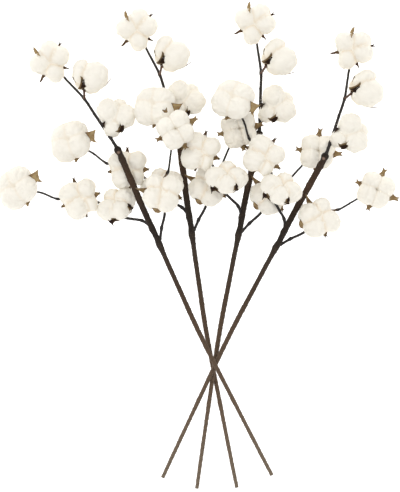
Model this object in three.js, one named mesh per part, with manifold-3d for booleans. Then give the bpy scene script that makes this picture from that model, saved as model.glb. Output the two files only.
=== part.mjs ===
// Four long cotton stems laid crossed on a table, each with eight open bolls.
// Millimetres. +X runs across the bunch, +Y from the cut ends to the tips, and the table top is z = 0.
import * as THREE from "three";
import { mergeVertices } from "three/addons/utils/BufferGeometryUtils.js";
import Module from "manifold-3d";

const wasm = await Module();
wasm.setup();

// ---------------------------------------------------------------- driving dimensions

const SEAT_GAP = 0.3; // between two pieces that touch
const COTTON_GAP = 0.7; // between a bur and the cotton that it holds
const WELD = 1e-4; // vertices nearer than this are one

const MAIN_SIDES = 8;
const BRANCH_SIDES = 6;
const STEP = 17; // length of one stretch of a stem
const SAMPLES = 12; // points between two route points when a stem's length is taken

const LOCK_DEPTH = 0.56; // a lock's radial half depth, as a share of its reach from the boll's axis
const LOCK_HALF_LENGTH = 19; // along the boll, where a lock gives none of its own
const LOCK_SPLAY = 20; // degrees that a lock leans away from the boll's axis
const CUP_DEPTH = 17; // from the boll's middle to the bottom of the cup that its cotton sits in
const CUP_CURVE = 0.016; // how fast the cup rises round its bottom, per mm
const PITH_DROP = 5; // the round middle that the locks join lies this far below the boll's middle
const COLUMNS_PER_LOCK = 4;
const ROW_ANGLES = [150, 119, 94, 69, 46, 23]; // degrees from the boll's axis

const BUR_WALL = 1.3;
const BUR_FOOT = 4.6; // thickness under the boll's middle
const VALVE_ROW = 1; // the row that a valve's widest part lies on
const VALVE_WIDTH = 0.85; // share of the columns beside the crease that it fills there
const VALVE_TIP_WALL = 0.9;
const HEART = 2.5; // how far into the foot a stalk runs
const STALK = 1.6;
const LEFT_CREST = 0.45; // share of the left branch's way in plan where it is highest
const SETTLED = 0.9; // share of any other route's way after which it lies level

// A route is a list of [across, along, radius] in the frame of its own stem, from the cut end.
const MAIN_ROUTE = [
  [0, 0, 2.65],
  [1.1, 70, 2.8],
  [2.5, 137, 2.95],
  [3.6, 190, 3.2],
  [5.5, 238, 3.5],
  [9, 288, 3.4],
  [12.6, 339, 3.5],
  [15, 366, 4],
  [17.2, 406, 4.3],
  [21.7, 456, 4.5],
  [24.6, 490, 4.55],
  [25.4, 504, 4.3],
];
const TOP_ROUTE = [
  [24.9, 492, 2.1],
  [25.4, 508, 2.3],
  [24.4, 524, 2.2],
  [22.7, 540, 2.2],
  [20.3, 564, 2.1],
  [17.8, 589, 1.95],
  [12.4, 610, 1.75],
  [7.9, 626, 1.6],
  [3.5, 645, 1.6],
];
const LEFT_ROUTE = [
  [14.6, 388.5, 1.9],
  [8.6, 400.4, 1.9],
  [-3.2, 409.5, 1.9],
  [-12, 417, 1.9],
  [-22, 434, 1.8],
  [-36, 455, 1.7],
];
const LEFT_FAR_ROUTE = [
  [-68, 477, 1.5],
  [-81.5, 483.4, 1.4],
  [-97.3, 501.5, 1.4],
];
const RIGHT_ROUTE = [
  [14, 359, 1.9],
  [27.7, 378.3, 1.9],
  [42.3, 396, 1.9],
];
const RIGHT_FAR_ROUTE = [
  [61.6, 436.2, 1.6],
  [72.8, 443.5, 1.5],
  [85.7, 460.5, 1.4],
  [96, 474.5, 1.4],
];
const UPPER_NODE = 5; // the top route's point that the upper boll's stalk leaves from
const SHOULDER_NODE = 2;
const LEFT_NEAR_NODE = 3; // the left route's

// A boll: its middle [across, along], the way that it faces [bearing, elevation] in degrees, its four
// locks [bearing, reach, half width, half length, how far it stands forward], and the tip of the valve
// between each lock and the next one [reach, degrees from the boll's axis].
const BOLLS = {
  tip: {
    at: [0, 656],
    face: [75, 84],
    locks: [[4, 30, 14.7, 19, 3], [68, 32, 14.5, 19, 0], [159, 28.5, 15, 19, 1], [265, 29, 13.3, 19, -2]],
    valves: [[33, 86], [36, 86], [28.5, 86], [28, 86]],
  },
  upper: {
    at: [37.5, 616],
    face: [50, -12],
    locks: [[5, 28, 15], [95, 22, 13], [185, 24, 12.5], [275, 34, 19, 21, 0]],
    valves: [[27, 96], [26, 96], [26.5, 108], [32, 84]],
  },
  shoulder: {
    at: [44, 547],
    face: [40, 32],
    locks: [[40, 24, 14], [145, 26, 15, 18, 5], [222, 21, 11.8, 12, -7], [308, 27, 15, 18, 4]],
    valves: [[26, 90], [26, 98], [29, 96], [26, 90]],
  },
  left_far: {
    at: [-122.2, 522.5],
    face: [135, 60],
    locks: [[50, 29, 16, 19, 1], [135, 30, 17, 19, 0], [220, 33, 18, 19, 2], [320, 28, 16, 19, 0]],
    valves: [[29, 88], [30, 94], [31, 86], [34, 78]],
  },
  left_mid: {
    at: [-51.8, 469.5],
    face: [30, 86],
    locks: [[31, 27.5, 14, 19, 3], [134, 31, 17, 19, 0], [220, 31, 16.5, 19, 3], [299, 27, 13, 19, -2]],
    valves: [[30, 86], [31.5, 86], [29.5, 86], [28, 86]],
  },
  left_near: {
    at: [-11.5, 436],
    face: [95, 40],
    locks: [[5, 29, 13.5, 19, 0], [95, 24, 14, 19, 0], [185, 30, 14.5, 19, 0], [275, 24, 14, 17, -2]],
    valves: [[27, 92], [27, 90], [32, 88], [28, 90]],
  },
  right_near: {
    at: [51.8, 423],
    face: [60, 84],
    locks: [[97, 27, 13, 17, -3], [193, 30, 16, 19, 1], [270, 29, 16, 19, 3], [358, 32, 14.5, 19, 0]],
    valves: [[31, 80], [32, 86], [31, 86], [28, 86]],
  },
  right_far: {
    at: [110, 490],
    face: [60, 82],
    locks: [[45, 26, 15.5, 17, 0], [135, 26, 15.5, 17, 0], [225, 26, 15.5, 17, 1], [318, 26, 15.5, 17, 0]],
    valves: [[30, 86], [28, 86], [28, 86], [31, 86]],
  },
};

// Each stem: where its cut end lies, the angle that it is turned to, the height of its main stem [along,
// height], the height that its left branch climbs to over a boll, and how high each boll's lowest point
// lies. A boll under nought is cut flat where it rests on the table.
const STEMS = {
  stem_1: {
    cut_end: [103.5, -324.6],
    turn: 28.22,
    rise: [[0, 2.9], [178, 26.7], [364, 40], [473, 51], [504, 53]],
    lifts: {
      tip: -0.9, upper: 3, shoulder: 17,
      left_far: -0.9, left_mid: 0.6, left_near: 4,
      right_near: 50, right_far: 62,
    },
  },
  stem_2: {
    cut_end: [54.4, -342.1],
    turn: 12.32,
    rise: [[0, 2.6], [178, 5.6], [364, 12], [504, 14]],
    lifts: {
      tip: -0.9, upper: -0.9, shoulder: -0.9,
      left_far: 0.5, left_mid: 0.5, left_near: 0.5,
      right_near: 0.5, right_far: 4,
    },
  },
  stem_3: {
    cut_end: [-1.8, -343.4],
    turn: -7.06,
    rise: [[0, 2.6], [178, 12.7], [364, 16], [504, 18]],
    left_crest: 45,
    lifts: {
      tip: -0.9, upper: -0.9, shoulder: -0.9,
      left_far: 30, left_mid: 34, left_near: 48,
      right_near: 0.5, right_far: 0.5,
    },
  },
  stem_4: {
    cut_end: [-49.8, -328.1],
    turn: -23.91,
    rise: [[0, 2.9], [178, 19.4], [364, 38], [504, 52]],
    lifts: {
      tip: -0.9, upper: 3, shoulder: 18,
      left_far: 42, left_mid: 45, left_near: 52,
      right_near: 26, right_far: -0.9,
    },
  },
};

// ---------------------------------------------------------------- materials

const COTTON = new THREE.MeshStandardMaterial({ color: 0xf4efe4, roughness: 0.95, metalness: 0 });
const TAPE = new THREE.MeshStandardMaterial({ color: 0x4a3d33, roughness: 0.85, metalness: 0 });
const BARK = new THREE.MeshStandardMaterial({ color: 0x35302c, roughness: 0.8, metalness: 0 });

// ---------------------------------------------------------------- small helpers

const radians = THREE.MathUtils.degToRad;

// The value at x on straight stretches between [x, value] pairs.
function between(pairs, x) {
  const next = pairs.findIndex(([at]) => at >= x);
  if (next < 0) return pairs[pairs.length - 1][1];
  if (next === 0) return pairs[0][1];
  const [x0, y0] = pairs[next - 1];
  const [x1, y1] = pairs[next];
  return y0 + ((y1 - y0) * (x - x0)) / (x1 - x0);
}

function geometryOf(points, faces) {
  const geometry = new THREE.BufferGeometry();
  const numbers = points.flatMap((point) => [...point]);
  geometry.setAttribute("position", new THREE.Float32BufferAttribute(numbers, 3));
  geometry.setIndex(faces.flat());
  return geometry;
}

function solidOf(geometry) {
  const bare = geometry.clone();
  bare.deleteAttribute("normal");
  bare.deleteAttribute("uv");
  const merged = mergeVertices(bare, WELD);
  return new wasm.Manifold(
    new wasm.Mesh({
      numProp: 3,
      vertProperties: merged.attributes.position.array,
      triVerts: new Uint32Array(merged.index.array),
    }),
  );
}

function geometryFrom(solid) {
  const { vertProperties, triVerts } = solid.getMesh();
  const geometry = new THREE.BufferGeometry();
  geometry.setAttribute("position", new THREE.Float32BufferAttribute(vertProperties, 3));
  geometry.setIndex([...triVerts]);
  geometry.computeVertexNormals();
  return geometry;
}

// ---------------------------------------------------------------- stems

// A closed round tube along a smooth curve through points, its radius following the radii at those points.
function taperedTube(points, radii, sides, grow = 0) {
  const curve = new THREE.CatmullRomCurve3(points);
  curve.arcLengthDivisions = points.length * SAMPLES;
  const steps = Math.max(2, Math.round(curve.getLength() / STEP));
  const frames = curve.computeFrenetFrames(steps, false);
  const vertices = [];
  const faces = [];
  for (let i = 0; i <= steps; i++) {
    const share = curve.getUtoTmapping(i / steps) * (points.length - 1);
    const before = Math.min(Math.floor(share), points.length - 2);
    const radius = THREE.MathUtils.lerp(radii[before], radii[before + 1], share - before) + grow;
    const centre = curve.getPointAt(i / steps);
    for (let k = 0; k < sides; k++) {
      const angle = (2 * Math.PI * k) / sides;
      vertices.push(
        centre
          .clone()
          .addScaledVector(frames.normals[i], radius * Math.cos(angle))
          .addScaledVector(frames.binormals[i], radius * Math.sin(angle)),
      );
    }
  }
  for (let i = 0; i < steps; i++) {
    for (let k = 0; k < sides; k++) {
      const a = i * sides + k;
      const b = i * sides + ((k + 1) % sides);
      faces.push([a, b, b + sides], [a, b + sides, a + sides]);
    }
  }
  const last = steps * sides;
  for (let k = 1; k < sides - 1; k++) {
    faces.push([0, k + 1, k], [last, last + k, last + k + 1]);
  }
  return geometryOf(vertices, faces);
}

// ---------------------------------------------------------------- bolls

function directionAt(polar, bearing) {
  const p = radians(polar);
  const b = radians(bearing);
  return new THREE.Vector3(Math.sin(p) * Math.cos(b), Math.sin(p) * Math.sin(b), Math.cos(p));
}

// How far a ray from the boll's middle runs before it leaves a lock: an ellipsoid that stands beside the
// boll's axis and leans away from it.
function lockReach([bearing, reach, halfWidth, halfLength = LOCK_HALF_LENGTH, forward = 0], ray) {
  const depth = LOCK_DEPTH * reach;
  const out = directionAt(90, bearing);
  const axes = [
    directionAt(90 + LOCK_SPLAY, bearing).divideScalar(depth),
    directionAt(90, bearing + 90).divideScalar(halfWidth),
    directionAt(LOCK_SPLAY, bearing).divideScalar(halfLength),
  ];
  const centre = out.multiplyScalar(reach - depth).setZ(forward);
  const d = new THREE.Vector3(...axes.map((axis) => axis.dot(ray)));
  const c = new THREE.Vector3(...axes.map((axis) => axis.dot(centre)));
  const along = d.dot(c);
  const inside = along ** 2 - d.lengthSq() * (c.lengthSq() - 1);
  return inside < 0 ? 0 : (along + Math.sqrt(inside)) / d.lengthSq();
}

// The pith is a ball that joins the locks, with its bottom at the bottom of the cup.
function pithReach(ray) {
  const drop = PITH_DROP * ray.z;
  return Math.sqrt(drop ** 2 - PITH_DROP ** 2 + (CUP_DEPTH - PITH_DROP) ** 2) - drop;
}

// The cup is a paraboloid.
function cupReach(ray) {
  const outward = 4 * CUP_CURVE * CUP_DEPTH * (1 - ray.z ** 2);
  return (2 * CUP_DEPTH) / (Math.sqrt(ray.z ** 2 + outward) - ray.z);
}

function cottonReach(boll, ray) {
  const locks = boll.locks.map((lock) => lockReach(lock, ray));
  return Math.min(Math.max(pithReach(ray), ...locks), cupReach(ray));
}

// The bearings of the boll's columns: the crease after each lock, then the columns over the next lock.
function columnBearings(boll) {
  const bearings = [];
  boll.locks.forEach(([bearing], i) => {
    const next = boll.locks[(i + 1) % boll.locks.length][0];
    const after = boll.locks[(i + 2) % boll.locks.length][0];
    const crease = bearing + turnTo(bearing, next) / 2;
    const following = crease + turnTo(crease, next) + turnTo(next, after) / 2;
    for (let k = 0; k < COLUMNS_PER_LOCK; k++) {
      bearings.push(crease + ((following - crease) * k) / COLUMNS_PER_LOCK);
    }
  });
  return bearings;
}

function turnTo(from, to) {
  return (((to - from) % 360) + 360) % 360;
}

// The cotton's points: foot first, then each row from the foot to the crown, and the crown last.
function cottonPoints(boll) {
  const bearings = columnBearings(boll);
  const rays = ROW_ANGLES.flatMap((angle) => bearings.map((bearing) => directionAt(angle, bearing)));
  const ends = [directionAt(180, 0), directionAt(0, 0)];
  return [ends[0], ...rays, ends[1]].map((ray) => ray.multiplyScalar(cottonReach(boll, ray)));
}

function cottonGeometry(points) {
  const columns = (points.length - 2) / ROW_ANGLES.length;
  const at = (row, column) => 1 + row * columns + (column % columns);
  const crown = points.length - 1;
  const last = ROW_ANGLES.length - 1;
  const faces = [];
  for (let column = 0; column < columns; column++) {
    faces.push([0, at(0, column + 1), at(0, column)]);
    for (let row = 0; row < last; row++) {
      const [a, b] = [at(row, column), at(row, column + 1)];
      const [c, d] = [at(row + 1, column), at(row + 1, column + 1)];
      faces.push([a, b, d], [a, d, c]);
    }
    faces.push([crown, at(last, column), at(last, column + 1)]);
  }
  return geometryOf(points, faces);
}

function pushedOut(point, distance) {
  return point.clone().setLength(point.length() + distance);
}

// The bur: a foot under the boll and a pointed valve over each crease, one closed shell round the cotton.
function burGeometry(boll, points) {
  const columns = (points.length - 2) / ROW_ANGLES.length;
  const at = (row, column) => points[1 + row * columns + ((column + columns) % columns)];
  const vertices = [];
  const faces = [];
  const layer = (point, wall) => {
    vertices.push(pushedOut(point, COTTON_GAP), pushedOut(point, COTTON_GAP + wall));
    return vertices.length - 2;
  };
  // An outer face and the inner face under it.
  const cover = (a, b, c) => faces.push([a, c, b], [a + 1, b + 1, c + 1]);
  // The wall along an edge from a to b, the shell lying on its left seen from outside.
  const edge = (a, b) => faces.push([a, b, b + 1], [a, b + 1, a + 1]);
  const foot = layer(points[0], BUR_FOOT);
  const ring = [];
  for (let column = 0; column < columns; column++) ring.push(layer(at(0, column), BUR_WALL));
  for (let column = 0; column < columns; column++) {
    cover(foot, ring[(column + 1) % columns], ring[column]);
  }
  const bearings = columnBearings(boll);
  for (let lock = 0; lock < boll.locks.length; lock++) {
    const crease = lock * COLUMNS_PER_LOCK;
    const base = [-1, 0, 1].map((side) => ring[(crease + side + columns) % columns]);
    const middle = at(VALVE_ROW, crease);
    const wide = [-1, 0, 1].map((side) =>
      layer(middle.clone().lerp(at(VALVE_ROW, crease + side), side === 0 ? 0 : VALVE_WIDTH), BUR_WALL),
    );
    const [reach, angle] = boll.valves[lock];
    const tip = layer(directionAt(angle, bearings[crease]).multiplyScalar(reach), VALVE_TIP_WALL);
    for (const k of [0, 1]) {
      cover(base[k], base[k + 1], wide[k + 1]);
      cover(base[k], wide[k + 1], wide[k]);
      cover(wide[k], wide[k + 1], tip);
    }
    edge(wide[0], base[0]);
    edge(tip, wide[0]);
    edge(base[2], wide[2]);
    edge(wide[2], tip);
    for (let k = 1; k < COLUMNS_PER_LOCK - 1; k++) {
      edge(ring[(crease + k + 1) % columns], ring[crease + k]);
    }
  }
  return geometryOf(vertices, faces);
}

// ---------------------------------------------------------------- one stem

function placeBolls(stem) {
  const placed = {};
  for (const [name, boll] of Object.entries(BOLLS)) {
    const [bearing, elevation] = boll.face;
    const axis = directionAt(90 - elevation, bearing);
    const turn = new THREE.Quaternion().setFromUnitVectors(new THREE.Vector3(0, 0, 1), axis);
    const points = cottonPoints(boll);
    const depth = points[0].length() + COTTON_GAP;
    const cotton = cottonGeometry(points).applyQuaternion(turn);
    const bur = burGeometry(boll, points).applyQuaternion(turn);
    const lowest = Math.min(lowestOf(cotton), lowestOf(bur));
    const middle = new THREE.Vector3(...boll.at, stem.lifts[name] - lowest);
    placed[name] = {
      neck: middle.clone().addScaledVector(axis, -(depth + BUR_FOOT)),
      heart: middle.clone().addScaledVector(axis, -(depth + HEART)),
      bur: bur.translate(...middle),
      cotton: cotton.translate(...middle),
    };
  }
  return placed;
}

function lowestOf(geometry) {
  geometry.computeBoundingBox();
  return geometry.boundingBox.min.z;
}

// A route's points in space, and the boll's heart at its end: it starts at one height, comes to a crest
// after a share of its way in plan, and goes on to the heart.
function climb(route, height, heart, crestShare = SETTLED, crest = heart.z) {
  const plan = route.map(([across, along]) => new THREE.Vector3(across, along, 0));
  plan.push(heart.clone().setZ(0));
  const run = [0];
  for (let i = 1; i < plan.length; i++) run.push(run[i - 1] + plan[i].distanceTo(plan[i - 1]));
  const total = run[run.length - 1];
  const heights = [[0, height], [crestShare, crest], [1, heart.z]];
  return plan.map((point, i) => point.setZ(between(heights, run[i] / total)));
}

// The radii along climbed routes, each of which keeps its last radius on to the heart.
function radiiOf(...routes) {
  return routes.flatMap((route) => [...route, route[route.length - 1]].map(([, , radius]) => radius));
}

function stalk(from, boll) {
  return solidOf(taperedTube([from, boll.neck, boll.heart], [STALK, STALK, STALK], BRANCH_SIDES));
}

function buildStem(name, stem) {
  const group = new THREE.Group();
  group.name = name;
  group.position.set(...stem.cut_end, 0);
  group.rotation.z = radians(stem.turn);
  const bolls = placeBolls(stem);
  const height = (along) => between(stem.rise, along);

  const topRoute = climb(TOP_ROUTE, height(TOP_ROUTE[0][1]), bolls.tip.heart);
  const leftStart = height(LEFT_ROUTE[0][1]);
  const leftRoute = climb(LEFT_ROUTE, leftStart, bolls.left_mid.heart, LEFT_CREST, stem.left_crest);
  const leftFarRoute = climb(LEFT_FAR_ROUTE, bolls.left_mid.heart.z, bolls.left_far.heart);
  const rightRoute = climb(RIGHT_ROUTE, height(RIGHT_ROUTE[0][1]), bolls.right_near.heart);
  const rightFarRoute = climb(RIGHT_FAR_ROUTE, bolls.right_near.heart.z, bolls.right_far.heart);

  const pieces = {
    top_twig: {
      points: topRoute,
      radii: radiiOf(TOP_ROUTE),
      stalks: [stalk(topRoute[UPPER_NODE], bolls.upper), stalk(topRoute[SHOULDER_NODE], bolls.shoulder)],
      burs: [bolls.tip.bur, bolls.upper.bur, bolls.shoulder.bur],
    },
    left_branch: {
      points: [...leftRoute, ...leftFarRoute],
      radii: radiiOf(LEFT_ROUTE, LEFT_FAR_ROUTE),
      stalks: [stalk(leftRoute[LEFT_NEAR_NODE], bolls.left_near)],
      burs: [bolls.left_near.bur, bolls.left_mid.bur, bolls.left_far.bur],
    },
    right_branch: {
      points: [...rightRoute, ...rightFarRoute],
      radii: radiiOf(RIGHT_ROUTE, RIGHT_FAR_ROUTE),
      stalks: [],
      burs: [bolls.right_near.bur, bolls.right_far.bur],
    },
  };

  const mainPoints = MAIN_ROUTE.map(([across, along]) => new THREE.Vector3(across, along, height(along)));
  const mainRadii = MAIN_ROUTE.map(([, , radius]) => radius);
  let main = solidOf(taperedTube(mainPoints, mainRadii, MAIN_SIDES));
  for (const [piece, { points, radii, stalks, burs }] of Object.entries(pieces)) {
    const wood = solidOf(taperedTube(points, radii, BRANCH_SIDES));
    const socket = solidOf(taperedTube(points, radii, BRANCH_SIDES, SEAT_GAP));
    main = main.subtract(socket);
    addMesh(group, `${name}_${piece}`, wasm.Manifold.union([wood, ...stalks, ...burs.map(solidOf)]), BARK);
  }
  addMesh(group, `${name}_main`, main, TAPE);
  for (const [boll, { cotton }] of Object.entries(bolls)) {
    addMesh(group, `${name}_cotton_${boll}`, solidOf(cotton), COTTON);
  }
  return group;
}

// Adds a solid to a stem as a named mesh, cut flat where it rests on the table.
function addMesh(group, name, solid, material) {
  const mesh = new THREE.Mesh(geometryFrom(solid.trimByPlane([0, 0, 1], 0)), material);
  mesh.name = name;
  group.add(mesh);
}

const bunch = new THREE.Group();
bunch.name = "cotton_stem_bunch";
for (const [name, stem] of Object.entries(STEMS)) bunch.add(buildStem(name, stem));

export default bunch;
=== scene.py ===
import bpy
import numpy as np
from bpy.props import FloatProperty, FloatVectorProperty, IntProperty, PointerProperty
from bpy.types import Operator, Panel, PropertyGroup
from mathutils import Matrix, Vector


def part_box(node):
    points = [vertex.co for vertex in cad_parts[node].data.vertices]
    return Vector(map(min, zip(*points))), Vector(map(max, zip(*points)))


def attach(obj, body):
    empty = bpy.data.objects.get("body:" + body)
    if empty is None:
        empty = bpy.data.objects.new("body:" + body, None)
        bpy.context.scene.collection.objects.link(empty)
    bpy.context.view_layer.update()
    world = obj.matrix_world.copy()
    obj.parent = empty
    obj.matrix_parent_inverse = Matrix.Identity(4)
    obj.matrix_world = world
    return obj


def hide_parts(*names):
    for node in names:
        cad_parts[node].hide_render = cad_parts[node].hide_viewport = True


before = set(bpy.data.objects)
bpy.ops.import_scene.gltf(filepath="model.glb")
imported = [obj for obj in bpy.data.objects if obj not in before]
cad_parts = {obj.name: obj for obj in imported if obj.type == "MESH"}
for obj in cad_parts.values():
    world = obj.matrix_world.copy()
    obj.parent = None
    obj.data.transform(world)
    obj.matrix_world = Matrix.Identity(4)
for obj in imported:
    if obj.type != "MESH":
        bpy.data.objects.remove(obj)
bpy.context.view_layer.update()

bl_info = {
    "name": "Cotton Stem Bunch",
    "version": (1, 0, 0),
    "blender": (4, 5, 0),
    "location": "View3D > Sidebar > Cotton",
    "description": "Dresses four crossed cotton stems with lint, dry burs, wrapped stems and bark",
    "category": "Add Mesh",
}

# Shapes are worked out in millimetres and degrees, and go into the meshes in metres.
METRE = 1000.0
SEED = 41

# ---------------------------------------------------------------- the stems' own sizes

# A lock's depth as a share of its reach, and how far it leans out.
LOCK_DEPTH = 0.56
LOCK_SPLAY = 20
# The cup that the cotton sits in: its bottom under the boll's middle, and its curve.
CUP_DEPTH = 17
CUP_CURVE = 0.016
# The middle of the ball that joins the locks, under the boll's middle.
PITH_DROP = 5
# The plain boll's columns of points for each lock, and its rows by their angle from the boll's axis.
COLUMNS_PER_LOCK = 4
ROW_ANGLES = [150, 119, 94, 69, 46, 23]
# The gap round the cotton, the thickness of the bur's foot, and how deep in it a stalk ends.
COTTON_GAP = 0.7
BUR_FOOT = 4.6
HEART = 2.5
# The radius of a stalk.
STALK = 1.6
# The share of its way in plan after which the left branch, or another twig, is up at its crest.
LEFT_CREST = 0.45
SETTLED = 0.9

# Routes in the frame of their own stem: [across, along, radius] from the cut end.
MAIN_ROUTE = [
    [0, 0, 2.65], [1.1, 70, 2.8], [2.5, 137, 2.95], [3.6, 190, 3.2], [5.5, 238, 3.5], [9, 288, 3.4],
    [12.6, 339, 3.5], [15, 366, 4], [17.2, 406, 4.3], [21.7, 456, 4.5], [24.8, 492, 4.55], [25.9, 509, 4.2],
]
TOP_ROUTE = [
    [24.9, 492, 2.1], [25.4, 508, 2.3], [24.4, 524, 2.2], [22.7, 540, 2.2], [20.3, 564, 2.1],
    [17.8, 589, 1.95], [12.4, 610, 1.75], [7.9, 626, 1.6], [3.5, 645, 1.6],
]
LEFT_ROUTE = [
    [14.6, 388.5, 1.9], [8.6, 400.4, 1.9], [-3.2, 409.5, 1.9], [-12, 417, 1.9], [-22, 434, 1.8],
    [-36, 455, 1.7],
]
LEFT_FAR_ROUTE = [[-68, 477, 1.5], [-81.5, 483.4, 1.4], [-97.3, 501.5, 1.4]]
RIGHT_ROUTE = [[14, 359, 1.9], [27.7, 378.3, 1.9], [42.3, 396, 1.9]]
RIGHT_FAR_ROUTE = [[61.6, 436.2, 1.6], [72.8, 443.5, 1.5], [85.7, 460.5, 1.4], [96, 474.5, 1.4]]
# The points of the top and the left route at which the stalks of these bolls start.
UPPER_NODE = 5
SHOULDER_NODE = 2
LEFT_NEAR_NODE = 3

# The bolls. Angles from a boll's axis and places out from it are in the boll's own frame.
#   face     the boll's axis in its stem's frame: [bearing, elevation]
#   locks    each lock: [bearing, reach, half width, half length, how far it stands forward]
#   fuller   the same for locks whose lint hangs out over the bur, by the lock's number
#   fluffed  the locks that run together into one soft mass. Its creases are deeper the higher its
#            sharpness, and it may have a groove in them and a dimple on top.
#   valves   the valve after each lock: [reach of its tip, angle of its tip from the axis, half width, half
#            the spread of its two horns, how dark it is inside]
#   nudged   [lift off its crease, turn of its tip] for some of them, by the valve's number
#   foot     the angle from the axis at which the bur's foot ends, where it isn't the usual one
#   points   dry points that lie on the cotton: [bearing at its start, bearing at its end, distance of its
#            start and of its end from the axis, half width, how dark]
#   fans     the wide ends of valves, in the stem's frame: [x, y and z of its root from the boll's middle,
#            bearing, rise, length, half width at its root and at its end, how dark, how soon it widens]
BOLLS = {
    "tip": {
        "face": [75, 84],
        "locks": [
            [4, 30, 14.7, 19, 3], [68, 32, 14.5, 19, 0], [159, 28.5, 15, 19, 1], [265, 29, 13.3, 19, -2],
        ],
        "valves": [
            [32.5, 84, 4, 2.4, 0.9], [31, 88, 4, 0, 0.2], [31.5, 86, 2.8, 0, 0.8], [28, 86, 2.4, 0.9, 0.9],
        ],
        "points": [[124, 108, 15, 33.5, 2.5, 0.1], [216, 214, 21, 33, 1.1, 0.9]],
    },
    "upper": {
        "face": [50, -12],
        "locks": [[5, 28, 15, 19, 0], [95, 22, 13, 19, 0], [185, 24, 12.5, 19, 0], [275, 34, 19, 21, 0]],
        "fuller": {0: [5, 28, 15, 19, -3], 1: [95, 22, 13, 19, -3], 3: [275, 34, 19, 21, -3]},
        "valves": [[26, 96, 4, 1, 0.5], [21, 108, 3, 0, 0.8], [22, 125, 5, 0, 0.2], [30, 85, 2.6, 1.4, 0.9]],
        "nudged": {3: [3.2, -8]},
        "foot": 157,
        "fans": [[-9.5, -10, 19, 136, 12, 7.5, 4, 9.6, 0.85, 0.55]],
    },
    "shoulder": {
        "face": [40, 32],
        "locks": [[40, 24, 14, 19, 0], [145, 26, 15, 18, 5], [222, 21, 11.8, 12, -7], [308, 27, 15, 18, 4]],
        "fuller": {2: [237, 25, 12, 15, -11.5]},
        "fluffed": [0, 1, 3],
        "sharpness": 4,
        "valves": [[25, 84, 5, 1, 0.8], [20, 95, 6, 0.3, 0.9], [25, 101, 7, 0.5, 0.9], [26, 78, 4, 1, 0.8]],
        "nudged": {1: [1, 9]},
        "fans": [[1.3, -21.9, 13, 124, 20, 8, 3, 8, 0.9, 0.55]],
    },
    "left_far": {
        "face": [135, 60],
        "locks": [[50, 29, 16, 19, 1], [135, 30, 17, 19, 0], [220, 33, 18, 19, 2], [320, 28, 16, 19, 0]],
        "fuller": {2: [220, 30.5, 18, 19, 2], 3: [325, 32, 16.5, 19, 0]},
        "fluffed": [0, 1, 2, 3],
        "sharpness": 4.5,
        "groove": 0.4,
        "valves": [[25, 100, 5, 1.5, 0.4], [26, 100, 5, 1.5, 0.4], [31.5, 86, 5, 3.2, 0], [31, 92, 5, 0, 0]],
        "nudged": {3: [0, -15]},
        "fans": [[29.1, -3.4, 12, 93, 46, 18.5, 2.5, 8.2, 0.1, 1.4]],
    },
    "left_mid": {
        "face": [30, 86],
        "locks": [
            [31, 27.5, 14, 19, 3], [134, 31, 17, 19, 0], [220, 31, 16.5, 19, 3], [299, 27, 13, 19, -2],
        ],
        "valves": [
            [31, 84, 4.5, 1.8, 0.8], [31.5, 86, 5, 1.8, 0.5],
            [29.5, 84, 5, 1.4, 0.6], [29, 84, 5, 1.6, 0.35],
        ],
    },
    "left_near": {
        "face": [95, 40],
        "locks": [[5, 29, 13.5, 19, 0], [95, 24, 14, 19, 0], [185, 30, 14.5, 19, 0], [275, 24, 14, 17, -2]],
        "valves": [
            [28, 88, 4.5, 1, 0.8], [27, 90, 4.5, 1, 0.8], [26, 100, 5, 0.2, 0.8], [20, 92, 4, 0.2, 0.8],
        ],
        "fans": [
            [-19.2, -17.6, 3, 52, 42, 9.5, 2.6, 7, 0.9, 0.8],
            [15.6, -9, 13, 186, 30, 6, 2.2, 6.6, 0.9, 0.7],
        ],
    },
    "right_near": {
        "face": [60, 84],
        "locks": [[97, 27, 13, 17, -3], [193, 30, 16, 19, 1], [270, 29, 16, 19, 3], [358, 32, 14.5, 19, 0]],
        "valves": [
            [40, 72, 4.5, 0, 0.45], [29, 93, 6.5, 0.4, 0.45], [31, 84, 6, 2.4, 0.5], [28, 86, 4, 0.8, 0.7],
        ],
        "fans": [[-18.5, -23, 3, 62, 45, 9, 2.6, 8, 0.35, 0.8]],
    },
    "right_far": {
        "face": [60, 82],
        "locks": [
            [45, 26, 15.5, 17, 0], [135, 26, 15.5, 17, 0], [225, 26, 15.5, 17, 1], [318, 26, 15.5, 17, 0],
        ],
        "fuller": {
            0: [40, 26.5, 13.5, 17, 0], 1: [139, 25, 13, 17, 0],
            2: [228, 27.5, 14.5, 17, 1], 3: [316, 26, 13.5, 17, -1],
        },
        "fluffed": [0, 1, 2, 3],
        "sharpness": 9,
        "groove": 1.5,
        "dimple": 6,
        "valves": [
            [32.5, 84, 6.5, 3.2, 0.35], [31, 88, 6, 3.2, 0.4], [31, 88, 6.5, 3.2, 0.4], [35, 84, 8, 3, 0.3],
        ],
    },
}

# The stems. A cut end is at an x and a y of the bunch's frame, and the stem's turn is about +z. Its rise
# is [along, height] at the ends of its straight stretches, and a left crest is the height that its left
# branch climbs to first.
STEMS = {
    "stem_1": {"cut_end": [103.5, -324.6], "turn": 28.22,
               "rise": [[0, 2.9], [178, 26.7], [364, 40], [473, 51], [504, 53]]},
    "stem_2": {"cut_end": [54.4, -342.1], "turn": 12.32,
               "rise": [[0, 2.6], [178, 5.6], [364, 12], [504, 14]]},
    "stem_3": {"cut_end": [-1.8, -343.4], "turn": -7.06, "left_crest": 45,
               "rise": [[0, 2.6], [178, 12.7], [364, 16], [504, 18]]},
    "stem_4": {"cut_end": [-49.8, -328.1], "turn": -23.91,
               "rise": [[0, 2.9], [178, 19.4], [364, 38], [504, 52]]},
}

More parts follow.
